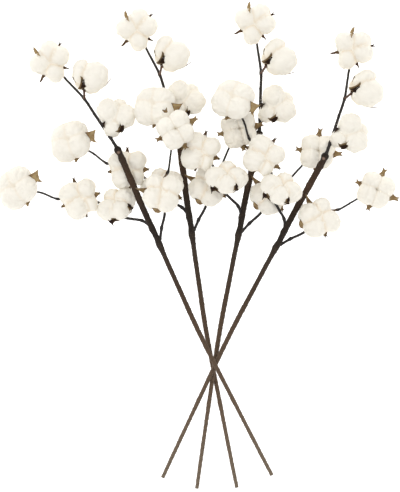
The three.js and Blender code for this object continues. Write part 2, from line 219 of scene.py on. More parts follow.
# Which branch of a stem carries which bolls.
TOP_BOLLS = ["tip", "upper", "shoulder"]
LEFT_BOLLS = ["left_near", "left_mid", "left_far"]
RIGHT_BOLLS = ["right_near", "right_far"]


# ---------------------------------------------------------------- what a user may change


class CottonSettings(PropertyGroup):
    puff: FloatProperty(
        name="Puff height", description="How far the soft puffs of a lock stand out",
        default=0.0011, min=0, max=0.004, unit="LENGTH",
    )
    curl: FloatProperty(
        name="Curl height", description="Height of the smaller curls on the puffs",
        default=0.0003, min=0, max=0.002, unit="LENGTH",
    )
    wisps: IntProperty(
        name="Wisps", description="Loose tufts of fibre on each boll", default=300, min=0, max=400,
    )
    wisp_length: FloatProperty(
        name="Wisp length", description="Length of the longest loose fibres",
        default=0.0065, min=0.001, max=0.02, unit="LENGTH",
    )
    lint: FloatVectorProperty(
        name="Lint", description="Colour of clean lint", subtype="COLOR", size=3,
        default=(0.95, 0.908, 0.815), min=0, max=1,
    )
    # Painted shade: the darker, warmer colour deep in the creases between the locks.
    crease: FloatVectorProperty(
        name="Crease", description="Colour deep between the locks", subtype="COLOR", size=3,
        default=(0.87, 0.76, 0.60), min=0, max=1,
    )


class BurSettings(PropertyGroup):
    wall: FloatProperty(
        name="Valve wall", description="Thickness of a valve along its middle",
        default=0.0013, min=0.0004, max=0.003, unit="LENGTH",
    )
    lip: FloatProperty(
        name="Lip", description="How far a valve's edges turn outwards",
        default=0.0009, min=0, max=0.003, unit="LENGTH",
    )
    outside: FloatVectorProperty(
        name="Outside", description="Colour of the bur's outer skin", subtype="COLOR", size=3,
        default=(0.016, 0.008, 0.005), min=0, max=1,
    )
    inside: FloatVectorProperty(
        name="Inside", description="Colour of the valves' inner skin", subtype="COLOR", size=3,
        default=(0.46, 0.34, 0.17), min=0, max=1,
    )


class StemSettings(PropertyGroup):
    lap: FloatProperty(
        name="Tape lap", description="Step where one turn of tape lies over the last",
        default=0.0003, min=0, max=0.001, unit="LENGTH",
    )
    pitch: FloatProperty(
        name="Tape pitch", description="Distance between two turns of tape",
        default=0.0085, min=0.003, max=0.03, unit="LENGTH",
    )
    wrinkle: FloatProperty(
        name="Wrinkles", description="Height of the creases in the tape",
        default=0.0003, min=0, max=0.001, unit="LENGTH",
    )
    bark: FloatVectorProperty(
        name="Bark", description="Colour of the twigs", subtype="COLOR", size=3,
        default=(0.022, 0.019, 0.018), min=0, max=1,
    )
    stalk: FloatVectorProperty(
        name="Stalk", description="Colour of the short stalks under the bolls", subtype="COLOR", size=3,
        default=(0.1, 0.045, 0.025), min=0, max=1,
    )


class StageSettings(PropertyGroup):
    view_height: FloatProperty(
        name="View height", description="Length of the table that the camera takes in, up the picture",
        default=0.6888, min=0.1, max=3, unit="LENGTH",
    )
    camera_height: FloatProperty(
        name="Camera height", description="Height of the camera over the table",
        default=16, min=1, max=30, unit="LENGTH",
    )
    sky: FloatProperty(
        name="Sky light", description="Strength of the even light", default=0.78, min=0, max=5,
    )
    lamp: FloatProperty(
        name="Lamp", description="Strength of the soft lamp", default=0.4, min=0, max=20,
    )
    fill: FloatProperty(
        name="Fill", description="Strength of the light that casts no shadow, straight from above",
        default=0.56, min=0, max=20,
    )
    floor: FloatVectorProperty(
        name="Floor", description="Colour of the floor", subtype="COLOR", size=3,
        default=(0.95, 0.95, 0.945), min=0, max=1,
    )


# ---------------------------------------------------------------- noise

LATTICE_SIZE = 256
LATTICE = np.random.default_rng(SEED).permutation(LATTICE_SIZE)
SLOPES = np.random.default_rng(SEED + 1).normal(size=(LATTICE_SIZE, 3))
SLOPES /= np.linalg.norm(SLOPES, axis=1, keepdims=True)
NOISE_GAIN = 1.6
NOISE_SHIFTS = (0, 37.3, 81.7)


def noise(points):
    """Gradient noise, about -1 to 1: each whole-numbered cell corner has its own slope, and a point takes
    the eight slopes round it, faded by how near they are."""
    cell = np.floor(points).astype(int)
    part = points - cell
    fade = part**3 * (part * (part * 6 - 15) + 10)
    total = np.zeros(points.shape[:-1])
    for corner in np.ndindex(2, 2, 2):
        x, y, z = np.moveaxis((cell + corner) % LATTICE_SIZE, -1, 0)
        column = LATTICE[(LATTICE[x] + y) % LATTICE_SIZE]
        slope = SLOPES[LATTICE[(column + z) % LATTICE_SIZE]]
        weight = np.where(corner, fade, 1 - fade).prod(-1)
        total += weight * (slope * (part - corner)).sum(-1)
    return total * NOISE_GAIN


def noise_vector(points):
    """A vector at each point, whose three numbers are noises of their own."""
    return np.stack([noise(points + shift) for shift in NOISE_SHIFTS], -1)


def puffs(points):
    """Round puffs with sharp creases between them: the size of the noise, stretched so that it is 0 in a
    crease and 1 on top."""
    return np.minimum(np.abs(noise(points)) * 1.9, 1) ** 0.7


def smooth_step(low, high, value):
    """0 under low, 1 over high, and a smooth S between them."""
    share = np.clip((value - low) / (high - low), 0, 1)
    return share * share * (3 - 2 * share)


def unit(vectors):
    """Vectors, each at a length of one."""
    return vectors / np.linalg.norm(vectors, axis=-1, keepdims=True)


# ---------------------------------------------------------------- shells and meshes


class Shell:
    """Points, the quads and triangles on them, and a number or vector for each point by name."""

    def __init__(self, points, quads, triangles, marks):
        self.points = points
        self.quads = quads
        self.triangles = triangles
        self.marks = marks

    def placed(self, turn, middle):
        """The same shell, turned by a matrix and moved to its middle."""
        return Shell(self.points @ turn.T + middle, self.quads, self.triangles, self.marks)

    def flipped(self):
        """The same shell with its faces turned over, for rings that turn clockwise as seen from the last."""
        return Shell(self.points, self.quads[:, [0, 3, 2, 1]], self.triangles[:, ::-1], self.marks)

    def above_table(self):
        """The same shell, flattened where it would go through the table."""
        points = self.points.copy()
        points[:, 2] = np.maximum(points[:, 2], 0)
        return Shell(points, self.quads, self.triangles, self.marks)


def joined(shells):
    """One shell made of several, with their numbering carried on."""
    starts = np.cumsum([0] + [len(shell.points) for shell in shells])
    return Shell(
        np.concatenate([shell.points for shell in shells]),
        np.concatenate([shell.quads + start for shell, start in zip(shells, starts)]),
        np.concatenate([shell.triangles + start for shell, start in zip(shells, starts)]),
        {name: np.concatenate([shell.marks[name] for shell in shells]) for name in shells[0].marks},
    )


def closed_shell(rings, marks, zipped=False):
    """A closed surface on rows of rings: quads join each ring to the next, and a fan to its middle closes
    the first and the last. The rings turn anticlockwise as seen from the last one. A zipped last ring is
    closed across instead, each point to the one opposite, so that a notch in it stays open."""
    rows, columns = rings.shape[:2]
    index = np.arange(rows * columns).reshape(rows, columns)
    after = np.roll(index, -1, axis=1)
    quads = np.stack([index[:-1], after[:-1], after[1:], index[1:]], -1).reshape(-1, 4)
    first, last = rows * columns, rows * columns + 1
    foot = np.stack([np.full(columns, first), after[0], index[0]], -1)
    head = np.stack([np.full(columns, last), index[-1], after[-1]], -1)
    if zipped:
        step = np.arange(1, columns // 2 - 1)
        across = index[-1][np.stack([step, step + 1, columns - step - 1, columns - step], -1)]
        quads = np.concatenate([quads, across])
        corners = [[0, 1, columns - 1], [columns // 2 - 1, columns // 2, columns // 2 + 1]]
        head = index[-1][np.array(corners)]
    ends = np.stack([rings[0].mean(0), rings[-1].mean(0)])[: 1 if zipped else 2]
    spread = {}
    for name, values in marks.items():
        size = values.shape[2:]
        grid = np.broadcast_to(values, (rows, columns, *size))
        ends_of_mark = np.stack([grid[0].mean(0), grid[-1].mean(0)])[: len(ends)]
        spread[name] = np.concatenate([grid.reshape(-1, *size), ends_of_mark])
    return Shell(np.concatenate([rings.reshape(-1, 3), ends]), quads, np.concatenate([foot, head]), spread)


def add_piece(name, shell, finish, nodes):
    """Makes a shell a smooth mesh object in metres, with its marks as attributes, that rides on the frame
    and stands for its nodes."""
    mesh = bpy.data.meshes.new(name)
    mesh.from_pydata((shell.points / METRE).tolist(), [], shell.quads.tolist() + shell.triangles.tolist())
    for mark, values in shell.marks.items():
        kind, field = ("FLOAT", "value") if values.ndim == 1 else ("FLOAT_VECTOR", "vector")
        attribute = mesh.attributes.new(mark, kind, "POINT")
        attribute.data.foreach_set(field, values.astype(np.float32).ravel())
    mesh.shade_smooth()
    mesh.materials.append(finish)
    piece = bpy.data.objects.new(name, mesh)
    bpy.context.scene.collection.objects.link(piece)
    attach(piece, "root")
    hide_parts(*nodes)


# ---------------------------------------------------------------- the bolls' forms


def direction(polar, bearing):
    """The unit vector at an angle from +z and at a bearing round it, in degrees."""
    p, b = np.broadcast_arrays(np.radians(polar), np.radians(bearing))
    return np.stack([np.sin(p) * np.cos(b), np.sin(p) * np.sin(b), np.cos(p)], -1)


def lock_form(lock):
    """A lock's middle and its three half axes: outwards, sideways and up along the boll."""
    bearing, reach, half_width, half_length, forward = lock
    depth = LOCK_DEPTH * reach
    axes = np.stack([
        direction(90 + LOCK_SPLAY, bearing) * depth,
        direction(90, bearing + 90) * half_width,
        direction(LOCK_SPLAY, bearing) * half_length,
    ])
    return direction(90, bearing) * (reach - depth) + np.array([0, 0, forward]), axes


def lock_reach(lock, rays):
    """How far rays from the boll's middle run before they leave a lock's ellipsoid, or 0 where they miss."""
    centre, axes = lock_form(lock)
    scaled = axes / (axes**2).sum(1, keepdims=True)
    d = rays @ scaled.T
    c = scaled @ centre
    along = d @ c
    size = (d**2).sum(-1)
    inside = along**2 - size * ((c**2).sum() - 1)
    return np.where(inside < 0, 0, (along + np.sqrt(np.maximum(inside, 0))) / size)


def pith_reach(rays):
    """How far rays run to the ball that joins the locks under the boll's middle."""
    drop = PITH_DROP * rays[..., 2]
    return np.sqrt(drop**2 - PITH_DROP**2 + (CUP_DEPTH - PITH_DROP) ** 2) - drop


def cup_reach(rays):
    """How far rays run to the paraboloid that the cotton sits in."""
    z = rays[..., 2]
    return 2 * CUP_DEPTH / (np.sqrt(z**2 + 4 * CUP_CURVE * CUP_DEPTH * (1 - z**2)) - z)


def cotton_reach(boll, rays):
    """The furthest of the pith and the locks, held inside the cup."""
    reaches = [lock_reach(lock, rays) for lock in boll["locks"]]
    return np.minimum(np.maximum.reduce([pith_reach(rays), *reaches]), cup_reach(rays))


def turn_to(start, end):
    """The turn from one bearing on to another, 0 to 360."""
    return (end - start) % 360


def crease_bearings(boll):
    """The bearing of the crease after each lock, half way to the next."""
    bearings = [lock[0] for lock in boll["locks"]]
    following = bearings[1:] + bearings[:1]
    return [a + turn_to(a, b) / 2 for a, b in zip(bearings, following)]


def column_bearings(boll):
    """The bearings of the plain boll's columns of points: each crease, then even steps to the next."""
    creases = crease_bearings(boll)
    following = creases[1:] + creases[:1]
    steps = np.arange(COLUMNS_PER_LOCK) / COLUMNS_PER_LOCK
    return np.concatenate([a + turn_to(a, b) * steps for a, b in zip(creases, following)])


def lean_of(boll):
    """The turn from a boll's own frame, whose z is the boll's axis, to its stem's frame."""
    bearing, elevation = boll["face"]
    axis = Vector(direction(90 - elevation, bearing))
    return np.array(Vector((0, 0, 1)).rotation_difference(axis).to_matrix())


class PlacedBoll:
    """Where one boll of a stem is: its turn, its middle, its neck and its heart. The middle is worked out
    from the highest corner of its node's box and from how far the plain boll's points reach."""

    def __init__(self, stem_name, name):
        boll = BOLLS[name]
        turn = Matrix.Rotation(np.radians(STEMS[stem_name]["turn"]), 3, "Z")
        self.turn = np.array(turn) @ lean_of(boll)
        rays = direction(np.array(ROW_ANGLES)[:, None], column_bearings(boll)).reshape(-1, 3)
        rays = np.concatenate([rays, [[0, 0, -1], [0, 0, 1]]])
        points = (rays * cotton_reach(boll, rays)[:, None]) @ self.turn.T
        highest = np.array(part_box(f"{stem_name}_cotton_{name}")[1]) * METRE
        self.middle = highest - points.max(0)
        self.axis = self.turn[:, 2]
        depth = CUP_DEPTH + COTTON_GAP
        self.neck = self.middle - self.axis * (depth + BUR_FOOT)
        self.heart = self.middle - self.axis * (depth + HEART)


# ---------------------------------------------------------------- cotton

LOCK_ROWS = 30
LOCK_COLUMNS = 54
# The rows, the columns, the share of its reach and the share of the lint's height of a soft mass that
# shows, and of the filling between plain locks.
SOFT_MASS = (66, 104, 1.03, 1.0)
FILLING = (26, 44, 0.955, 0.3)
SHARPNESS = 9
# How strong the painted crease shade is on a soft mass.
SOFT_CREASE_SHADE = 0.45
DIMPLE_WIDTH = 0.13
# The lint's swell, puffs and curls: how far apart they are, and how high the swell is.
SWELL_SIZE = 21.0
PUFF_SIZE = 13.0
CURL_SIZE = 5.5
SWELL = 2.2
# How far the lint stands out at its middle height, and how far its creases bend, over what distance.
FULLNESS = 0.5
WARP = 0.55
WARP_SIZE = PUFF_SIZE * 1.4
# Shifts that keep one noise from repeating another.
WARP_SHIFT = 5.1
SWELL_SHIFT = 2.7
CURL_SHIFT = 11.3
LOCK_SHIFT = 60.0
SOFT_SHIFT = 31.0
# The lint's room over the plain cotton under the boll's widest part, how much more it has above it, its
# room over the cup, and how far inside the cup a soft mass is before its lint.
SNUG_ROOM = 0.35
FREE_ROOM = 4.5
CUP_ROOM = 0.3
CUP_INSET = 0.4


def lint_height(points, settings):
    """How far the lint stands out of a lock's plain form: a slow swell, soft puffs whose creases bend to
    and fro, and smaller curls on them."""
    bent = points / PUFF_SIZE + WARP * noise_vector(points / WARP_SIZE + WARP_SHIFT)
    swell = SWELL * noise(points / SWELL_SIZE + SWELL_SHIFT)
    puff = settings.puff * METRE * (puffs(bent) * 2 - 1.15)
    curl = settings.curl * METRE * (puffs(bent * PUFF_SIZE / CURL_SIZE + CURL_SHIFT) * 2 - 1.1)
    return FULLNESS + swell + puff + curl


def nearness(points, lock):
    """How near points are to a lock: 1 on its ellipsoid, less inside it."""
    centre, axes = lock_form(lock)
    scaled = axes / (axes**2).sum(1, keepdims=True)
    return np.linalg.norm((points - centre) @ scaled.T, axis=-1)


def held_in_cup(boll, points):
    """Points pulled in along their rays so that they stay in the bur: just over the plain cotton's reach
    under the boll's widest part, and freer above it."""
    reach = np.linalg.norm(points, axis=-1)
    rays = points / np.maximum(reach, 1e-6)[..., None]
    room = SNUG_ROOM + FREE_ROOM * smooth_step(-0.2, 0.25, rays[..., 2])
    most = np.minimum(cotton_reach(boll, rays) + room, cup_reach(rays) + CUP_ROOM)
    return rays * np.minimum(reach, most)[..., None]


def lock_shell(boll, number, settings):
    """One lock: an ellipsoid on rings about its sideways axis, each point moved along the ellipsoid's
    normal by the lint's height, with the painted crease shade mark rising where it nears another lock.
    Its normals and how near its points are to the other locks come with it."""
    fuller = boll.get("fuller", {})
    locks = {**dict(enumerate(boll["locks"])), **fuller}
    centre, axes = lock_form(locks[number])
    polar = np.linspace(3, 177, LOCK_ROWS)[:, None]
    around = np.linspace(0, 360, LOCK_COLUMNS, endpoint=False)
    across = direction(polar, around)
    ball = np.stack([across[..., 0], -across[..., 2], across[..., 1]], -1)
    plain = centre + ball @ axes
    normal = unit(ball @ (axes / (axes**2).sum(1, keepdims=True)))
    offset = LOCK_SHIFT * number + locks[number][1]
    points = plain + normal * lint_height(plain + offset, settings)[..., None]
    points = points if number in fuller else held_in_cup(boll, points)
    others = [nearness(points, lock) for other, lock in locks.items() if other != number]
    nearest = np.minimum.reduce(others)
    # Painted shade: the crease mark rises where this lock nears another one.
    crease = 1 - smooth_step(1.0, 1.35, nearest)
    shell = closed_shell(points, {"crease": crease, "loose": np.zeros((1, 1))})
    return shell.flipped(), normal, nearest


def soft_shell(boll, settings, rows, columns, share, lint):
    """Locks run together, as fluffed lint is: along each ray from the boll's middle, the root of the sum
    of the locks' reaches, each raised to the boll's sharpness, so that a crease is a round hollow. A
    groove may deepen the creases, and a dimple may sink in at the top. The rays and a nearness that hides
    no fibre come with it."""
    rays = direction(np.linspace(175, 2.5, rows)[:, None], np.linspace(0, 360, columns, endpoint=False))
    numbers = boll.get("fluffed", range(len(boll["locks"])))
    locks = [boll.get("fuller", {}).get(number, boll["locks"][number]) for number in numbers]
    reaches = [pith_reach(rays), *(lock_reach(lock, rays) for lock in locks)]
    sharpness = boll.get("sharpness", SHARPNESS)
    reach = sum(one**sharpness for one in reaches) ** (1 / sharpness)
    shared = (1 - np.maximum.reduce(reaches) / reach) / (1 - 0.5 ** (1 / sharpness))
    # Painted shade in the creases, where the locks share the reach.
    crease = SOFT_CREASE_SHADE * smooth_step(0.4, 1, shared)
    off_axis = np.hypot(rays[..., 0], rays[..., 1]) + (rays[..., 2] < 0)
    reach = np.minimum(reach * share - boll.get("groove", 0) * shared**2, cup_reach(rays) - CUP_INSET)
    reach -= boll.get("dimple", 0) * np.exp(-((off_axis / DIMPLE_WIDTH) ** 2))
    height = lint_height(rays * reach[..., None] + SOFT_SHIFT, settings)
    points = rays * (reach + lint * height)[..., None]
    points = held_in_cup(boll, points)
    shell = closed_shell(points, {"crease": crease, "loose": np.zeros((1, 1))})
    return shell, rays, np.full(rays.shape[:2], 2.0)


# Loose fibres: their points, their width, how deep their roots are, and the share, the width, the length
# and the thickness of the tufts among them.
WISP_ROWS = 4
WISP_WIDTH = 0.13
WISP_ROOT = 0.5
TUFT_SHARE = 0.12
TUFT_WIDTH = 0.5
TUFT_LENGTH = 0.6
TUFT_FLATNESS = 0.3
# How clear of another lock a fibre starts.
WISP_CLEAR = 1.03


def wisp_shells(shells, normals, nearest, settings, draw):
    """Loose fibres: three-sided tapering strands that start just inside the lint at drawn points, lean
    along the surface and curl. A share of them are short and wide, as matted tufts are."""
    count = settings.wisps
    points = np.concatenate([shell.points[:-2] for shell in shells])
    normal = np.concatenate([n.reshape(-1, 3) for n in normals])
    clear = np.flatnonzero(np.concatenate([n.ravel() for n in nearest]) > WISP_CLEAR)
    picked = draw.choice(clear, count)
    out = normal[picked]
    side = unit(np.cross(out, draw.normal(size=(count, 3))))
    curl = np.cross(out, side)
    tuft = draw.random(count) < TUFT_SHARE
    length = settings.wisp_length * METRE * draw.uniform(0.35, 1, count) * np.where(tuft, TUFT_LENGTH, 1)
    lift = draw.uniform(0.12, 0.5, count)
    bend = draw.uniform(-0.7, 0.7, count)
    share = np.linspace(0, 1, WISP_ROWS)[:, None]
    path = (
        points[picked] - out * WISP_ROOT
        + (share * length)[..., None] * side
        + (share**0.7 * length * lift)[..., None] * out
        + (share**2 * length * bend)[..., None] * curl
    )
    width = np.where(tuft, TUFT_WIDTH, WISP_WIDTH) * (1 - 0.93 * share**1.3)
    angle = np.radians([90, 210, 330])
    thick = width * np.where(tuft, TUFT_FLATNESS, 1)
    ring = (
        path[:, :, None]
        + (width[..., None] * np.cos(angle))[..., None] * curl[None, :, None]
        + (thick[..., None] * np.sin(angle))[..., None] * out[None, :, None]
    )
    rows, wisps, corners = ring.shape[:3]
    index = np.arange(rows * wisps * corners).reshape(rows, wisps, corners)
    after = np.roll(index, -1, axis=2)
    quads = np.stack([index[:-1], after[:-1], after[1:], index[1:]], -1).reshape(-1, 4)
    triangles = np.concatenate([index[0][:, ::-1], index[-1]])
    loose = np.broadcast_to(share[:, :, None], (rows, wisps, corners)).ravel()
    marks = {"crease": np.zeros(loose.shape), "loose": loose}
    return Shell(ring.reshape(-1, 3), quads, triangles, marks)


def cotton_shell(name, settings):
    """A boll's cotton about its own middle: its plain locks one by one, its fluffed locks as one soft mass
    or else a filling between the plain ones, and its wisps."""
    boll = BOLLS[name]
    draw = np.random.default_rng(SEED + list(BOLLS).index(name))
    fluffed = boll.get("fluffed", [])
    plain = [number for number in range(len(boll["locks"])) if number not in fluffed]
    made = [lock_shell(boll, number, settings) for number in plain]
    parts = []
    if fluffed:
        made.append(soft_shell(boll, settings, *SOFT_MASS))
    else:
        parts.append(soft_shell(boll, settings, *FILLING)[0])
    shells, normals, nearest = zip(*made)
    parts += shells
    if settings.wisps:
        parts.append(wisp_shells(shells, normals, nearest, settings, draw))
    return joined(parts)


# ---------------------------------------------------------------- burs

VALVE_ROWS = 18
VALVE_COLUMNS = 16
# Where a valve leaves the foot and where it is widest, as shares of its length, the angle from the axis
# there, and how far inside the foot it starts.
VALVE_FOOT = 0.14
VALVE_WIDEST = 0.42
WIDEST_ANGLE = 119
VALVE_ROOT = 8
# A valve's half width at its plain tip, its thickness at its edge, and the height of its inner ridge.
TIP_HALF = 0.15
EDGE_WALL = 0.12
SEPTUM = 0.8
# Where a valve splits into its horns, and how deep the notch between them is. Over a spread of wide horns
# it splits earlier, and the notch gets shallower by the fall over the square of the spread.
SPLIT = 0.68
NOTCH = 0.16
WIDE_HORNS = 2.5
NOTCH_FALL = 6.5
# The mark of an edge rises from this share of the half width, and the fibres run on for this length.
RIM_START = 0.8
GRAIN_LENGTH = 30.0
# A fan's strip as a share of its length, its drawn-out corners, its bend across, and its crumples.
FAN_ROWS = 24
FAN_STRIP = 0.8
FAN_CORNER = 2.6
FAN_BEND = 0.18
FAN_CRUMPLE = 0.12
# A dry point's thickness, its height over the plain cotton, and how many angles the cotton is read at.
POINT_ROWS = 16
POINT_COLUMNS = 8
POINT_WALL = 0.5
POINT_LIFT = 2.9
POINT_ANGLES = 60
# The bur's foot: the angle from the axis where it ends, its thickness at its edge and inside, and the
# height of its four low lobes.
FOOT_COLUMNS = 32
FOOT_ROWS = 9
FOOT_INNER_ROWS = 4
FOOT_END = 150
FOOT_EDGE = 0.9
FOOT_LINING = 0.2
FOOT_LOBE = 0.25


def bur_marks(inside, along, dark, rim, grain):
    """What the husk's finish reads: 1 on an inner face, the share of the length, how dark the inner face
    is, 1 at an edge, and a place whose z runs with the fibres."""
    return {"inside": inside, "along": along, "dark": dark, "rim": rim, "grain": grain}


def valve_shell(boll, number, settings):
    """A valve over the crease after a lock. Its middle line runs from the foot up the crease to the tip.
    Across it, its inner face follows the locks' flanks, with a ridge along its middle and its edges
    turned out; the outer face is a wall thickness further out, thinning to nothing at the edges. Near
    its tip it splits: the middle falls back in a notch and the two sides spread into horns."""
    bearing = crease_bearings(boll)[number]
    reach, tip_polar, half_width, horns, dark = boll["valves"][number]
    lift, turn = boll.get("nudged", {}).get(number, [0, 0])
    foot = boll.get("foot", FOOT_END)
    polars = np.array([foot + VALVE_ROOT, foot, WIDEST_ANGLE, tip_polar])
    reaches = cotton_reach(boll, direction(polars, bearing)) + COTTON_GAP
    reaches[3] = reach
    run = np.array([0, VALVE_FOOT, VALVE_WIDEST, 1])
    share = np.linspace(0, 1, VALVE_ROWS)[:, None]
    around = np.linspace(0, 2 * np.pi, VALVE_COLUMNS, endpoint=False)
    side = np.cos(around)
    inner = np.sin(around) > 0
    split = smooth_step(SPLIT - 0.05 * max(horns - WIDE_HORNS, 0), 1, share)
    notch = NOTCH * min(horns, 1, NOTCH_FALL / (horns**2 + 0.1)) * split * (1 - np.abs(side))
    place = share - notch
    swell = np.minimum(share / VALVE_WIDEST, 1) ** 0.5 * 0.55 + 0.45
    taper = np.clip((1 - share) / (1 - VALVE_WIDEST), 0, 1) ** 1.5
    half = half_width * swell * taper + TIP_HALF + horns * split**1.2
    wobble = 1 + 0.12 * noise(np.stack(np.broadcast_arrays(share * 4, side, number + reach), -1))
    polar = np.interp(place, run, polars)
    middle = np.interp(place, run, reaches) + lift * smooth_step(0.1, 0.5, share)
    bearing = bearing + turn * smooth_step(0.3, 1, place)
    radius = middle * np.sin(np.radians(polar))
    swing = np.degrees(side * half * wobble / np.maximum(radius, 4))
    on_crease = cotton_reach(boll, direction(polar, bearing))
    beside = cotton_reach(boll, direction(polar, bearing + swing))
    flank = np.clip(beside - on_crease, -2, 6) * np.clip(1.15 - share, 0, 1)
    lip = settings.lip * METRE * np.abs(side) ** 3 * smooth_step(0.15, 0.5, share)
    ridge = -SEPTUM * np.exp(-((side / 0.22) ** 2)) * smooth_step(0.1, 0.4, share) * (1 - share**2)
    wall = settings.wall * METRE * np.sqrt(np.clip(1 - side**2, 0, 1)) * (1 - 0.55 * share) + EDGE_WALL
    face = np.where(inner, ridge, wall)
    rings = direction(polar, bearing + swing) * (middle + flank + lip + face)[..., None]
    grain = np.stack(np.broadcast_arrays(side * half, face, share * GRAIN_LENGTH), -1)
    shade = inner[None] * 1.0
    dry = share * (1 - 0.3 * (horns > 2.9) * (1 - np.abs(side) ** 3))
    rim = smooth_step(RIM_START, 1, np.abs(side))[None]
    return closed_shell(rings, bur_marks(shade, dry, np.full((1, 1), dark), rim, grain), zipped=True)


def point_shell(boll, point):
    """A dry point that lies on the cotton: a boat-shaped leaf that runs out from near the boll's axis and
    is widest past its middle. Its height is the cotton's own there, read from how far along the axis each
    angle of it lies, and its edges curl up."""
    first_bearing, last_bearing, start, end, half_width, dark = point
    share = np.linspace(0, 1, POINT_ROWS)[:, None]
    out = start + (end - start) * share
    bearing = first_bearing + (last_bearing - first_bearing) * share
    angles = np.linspace(0, 95, POINT_ANGLES)
    reach = cotton_reach(boll, direction(angles, bearing))
    order = np.maximum.accumulate(reach * np.sin(np.radians(angles)), axis=1)
    order = order + np.arange(POINT_ANGLES) * 1e-6
    heights = reach * np.cos(np.radians(angles))
    top = np.array([[np.interp(*row)] for row in zip(out[:, 0], order, heights)])
    around = np.linspace(0, 2 * np.pi, POINT_COLUMNS, endpoint=False)
    half = half_width * np.sin(np.pi * np.clip(share**1.25, 0.02, 0.98)) ** 1.3 + 0.35 * (1 - share**2)
    lean = POINT_WALL * np.sin(around) + 0.35 * np.abs(np.cos(around)) * half
    rise = np.maximum(top, top[share[:, 0] > 0.4][0] * (1.25 - share)) + POINT_LIFT + lean
    side = direction(90, bearing + 90) * (np.cos(around) * half)[..., None]
    rings = direction(90, bearing) * out[..., None] + side + np.array([0, 0, 1]) * rise[..., None]
    grain = np.stack(np.broadcast_arrays(np.cos(around) * half, top * 0, out), -1)
    rim = smooth_step(0.7, 1, np.abs(np.cos(around)))[None]
    marks = bur_marks(np.full((1, 1), 0.8), share, np.full((1, 1), dark), rim, grain)
    return closed_shell(rings, marks)


def fan_shell(boll, fan, settings):
    """The wide end of a valve that has twisted round to show its face. From its root it runs at a bearing
    and a rise, level across, and widens to two drawn-out corners with a hollow edge between them, bent
    like a shallow gutter. Under its root a strip of it runs down along the boll, and narrows to a point.
    A dark one shows the dark outside of the valve, with a tan rim."""
    *root, bearing, rise, length, root_half, end_half, dark, soon = fan
    lean = lean_of(boll)
    root = np.array(root) @ lean
    along = direction(90 - rise, bearing) @ lean
    level = direction(90, bearing - 90) @ lean
    round_boll = unit(np.cross([0, 0, 1], root))
    round_boll *= np.sign(round_boll @ level)
    share = np.linspace(-FAN_STRIP, 1, FAN_ROWS)[:, None]
    around = np.linspace(0, 2 * np.pi, VALVE_COLUMNS, endpoint=False)
    side = np.cos(around)
    grown = np.clip(share, 0, 1)
    under = np.clip(-share, 0, 1)
    twist = smooth_step(0, 0.4, under)
    side_way = unit(level * (1 - twist) + round_boll * twist)[:, None]
    run = unit(along * (1 - twist) + np.array([0, 0, 1]) * twist)[:, None]
    face = unit(np.cross(side_way, run))
    half = (root_half + (end_half - root_half) * grown**soon) * smooth_step(-FAN_STRIP - 0.05, 0, share)
    half = half * (1 + 0.1 * noise(np.stack(np.broadcast_arrays(share * 3, side, 7.0), -1)))
    corner = FAN_CORNER * grown**3 * (np.abs(side) ** 3 - 0.35 + 0.35 * side * (side > 0))
    crumple = noise(np.stack(np.broadcast_arrays(share * 2.2, side * 1.3, 3.0), -1))
    bend = (FAN_BEND * half * side**2 + FAN_CRUMPLE * end_half * crumple) * (1 - twist)
    wall = np.sin(around) * (settings.wall * METRE * 0.4 * (1 - 0.6 * grown) + 0.1)
    rings = root + (
        (grown * length + corner)[..., None] * along
        - (under * length)[..., None] * np.array([0, 0, 1])
        + (side * half)[..., None] * side_way
        + (bend + wall)[..., None] * face
    )
    grain = np.stack(np.broadcast_arrays(side * half, wall, share * GRAIN_LENGTH), -1)
    outside_up = dark > 0.5
    dry = 0.62 + (0.1 if outside_up else 0.38) * grown**2 * np.abs(side) ** 3
    rim = np.maximum(smooth_step(RIM_START, 1, np.abs(side)), smooth_step(0.5, 0.9, share) * outside_up)
    inside = (np.sin(around) > (2 if outside_up else -0.5))[None] * 1.0
    marks = bur_marks(inside, dry, np.full((1, 1), dark), rim, grain)
    return closed_shell(rings, marks, zipped=True).flipped()


def foot_shell(boll):
    """The round foot of the bur: out over its underside from the pole to its rim, and back inside."""
    end = boll.get("foot", FOOT_END)
    outer = np.linspace(178, end, FOOT_ROWS)
    inner = np.linspace(end, 176, FOOT_INNER_ROWS)
    polar = np.concatenate([outer, inner])[:, None]
    bearing = np.linspace(0, 360, FOOT_COLUMNS, endpoint=False)
    rays = direction(polar, bearing)
    fall = 0.5 + 0.5 * np.cos(np.radians((180 - outer) / (180 - end) * 180))
    thick = BUR_FOOT * fall**0.7 + FOOT_EDGE
    lobes = FOOT_LOBE * np.cos(np.radians(bearing - crease_bearings(boll)[0]) * 4)
    walls = np.concatenate([thick, np.full(len(inner), FOOT_LINING)])[:, None] + lobes * (polar > FOOT_END)
    rings = rays * (cotton_reach(boll, rays) + COTTON_GAP * 0.8 + walls)[..., None]
    grain = np.stack(np.broadcast_arrays(rings[..., 0], rings[..., 1], rings[..., 2] * 0.3), -1)
    plain = np.zeros((1, 1))
    return closed_shell(rings, bur_marks(plain, plain, plain, plain, grain))


def bur_shell(name, settings):
    """A boll's bur about the boll's middle."""
    boll = BOLLS[name]
    parts = [valve_shell(boll, number, settings) for number in range(len(boll["valves"]))]
    parts += [point_shell(boll, point) for point in boll.get("points", [])]
    parts += [fan_shell(boll, fan, settings) for fan in boll.get("fans", [])]
    parts.append(foot_shell(boll))
    return joined(parts)


# ---------------------------------------------------------------- stems and twigs

# The fine steps of a stretch between two points of a route, before its even steps are taken.
CURVE_STEPS = 40


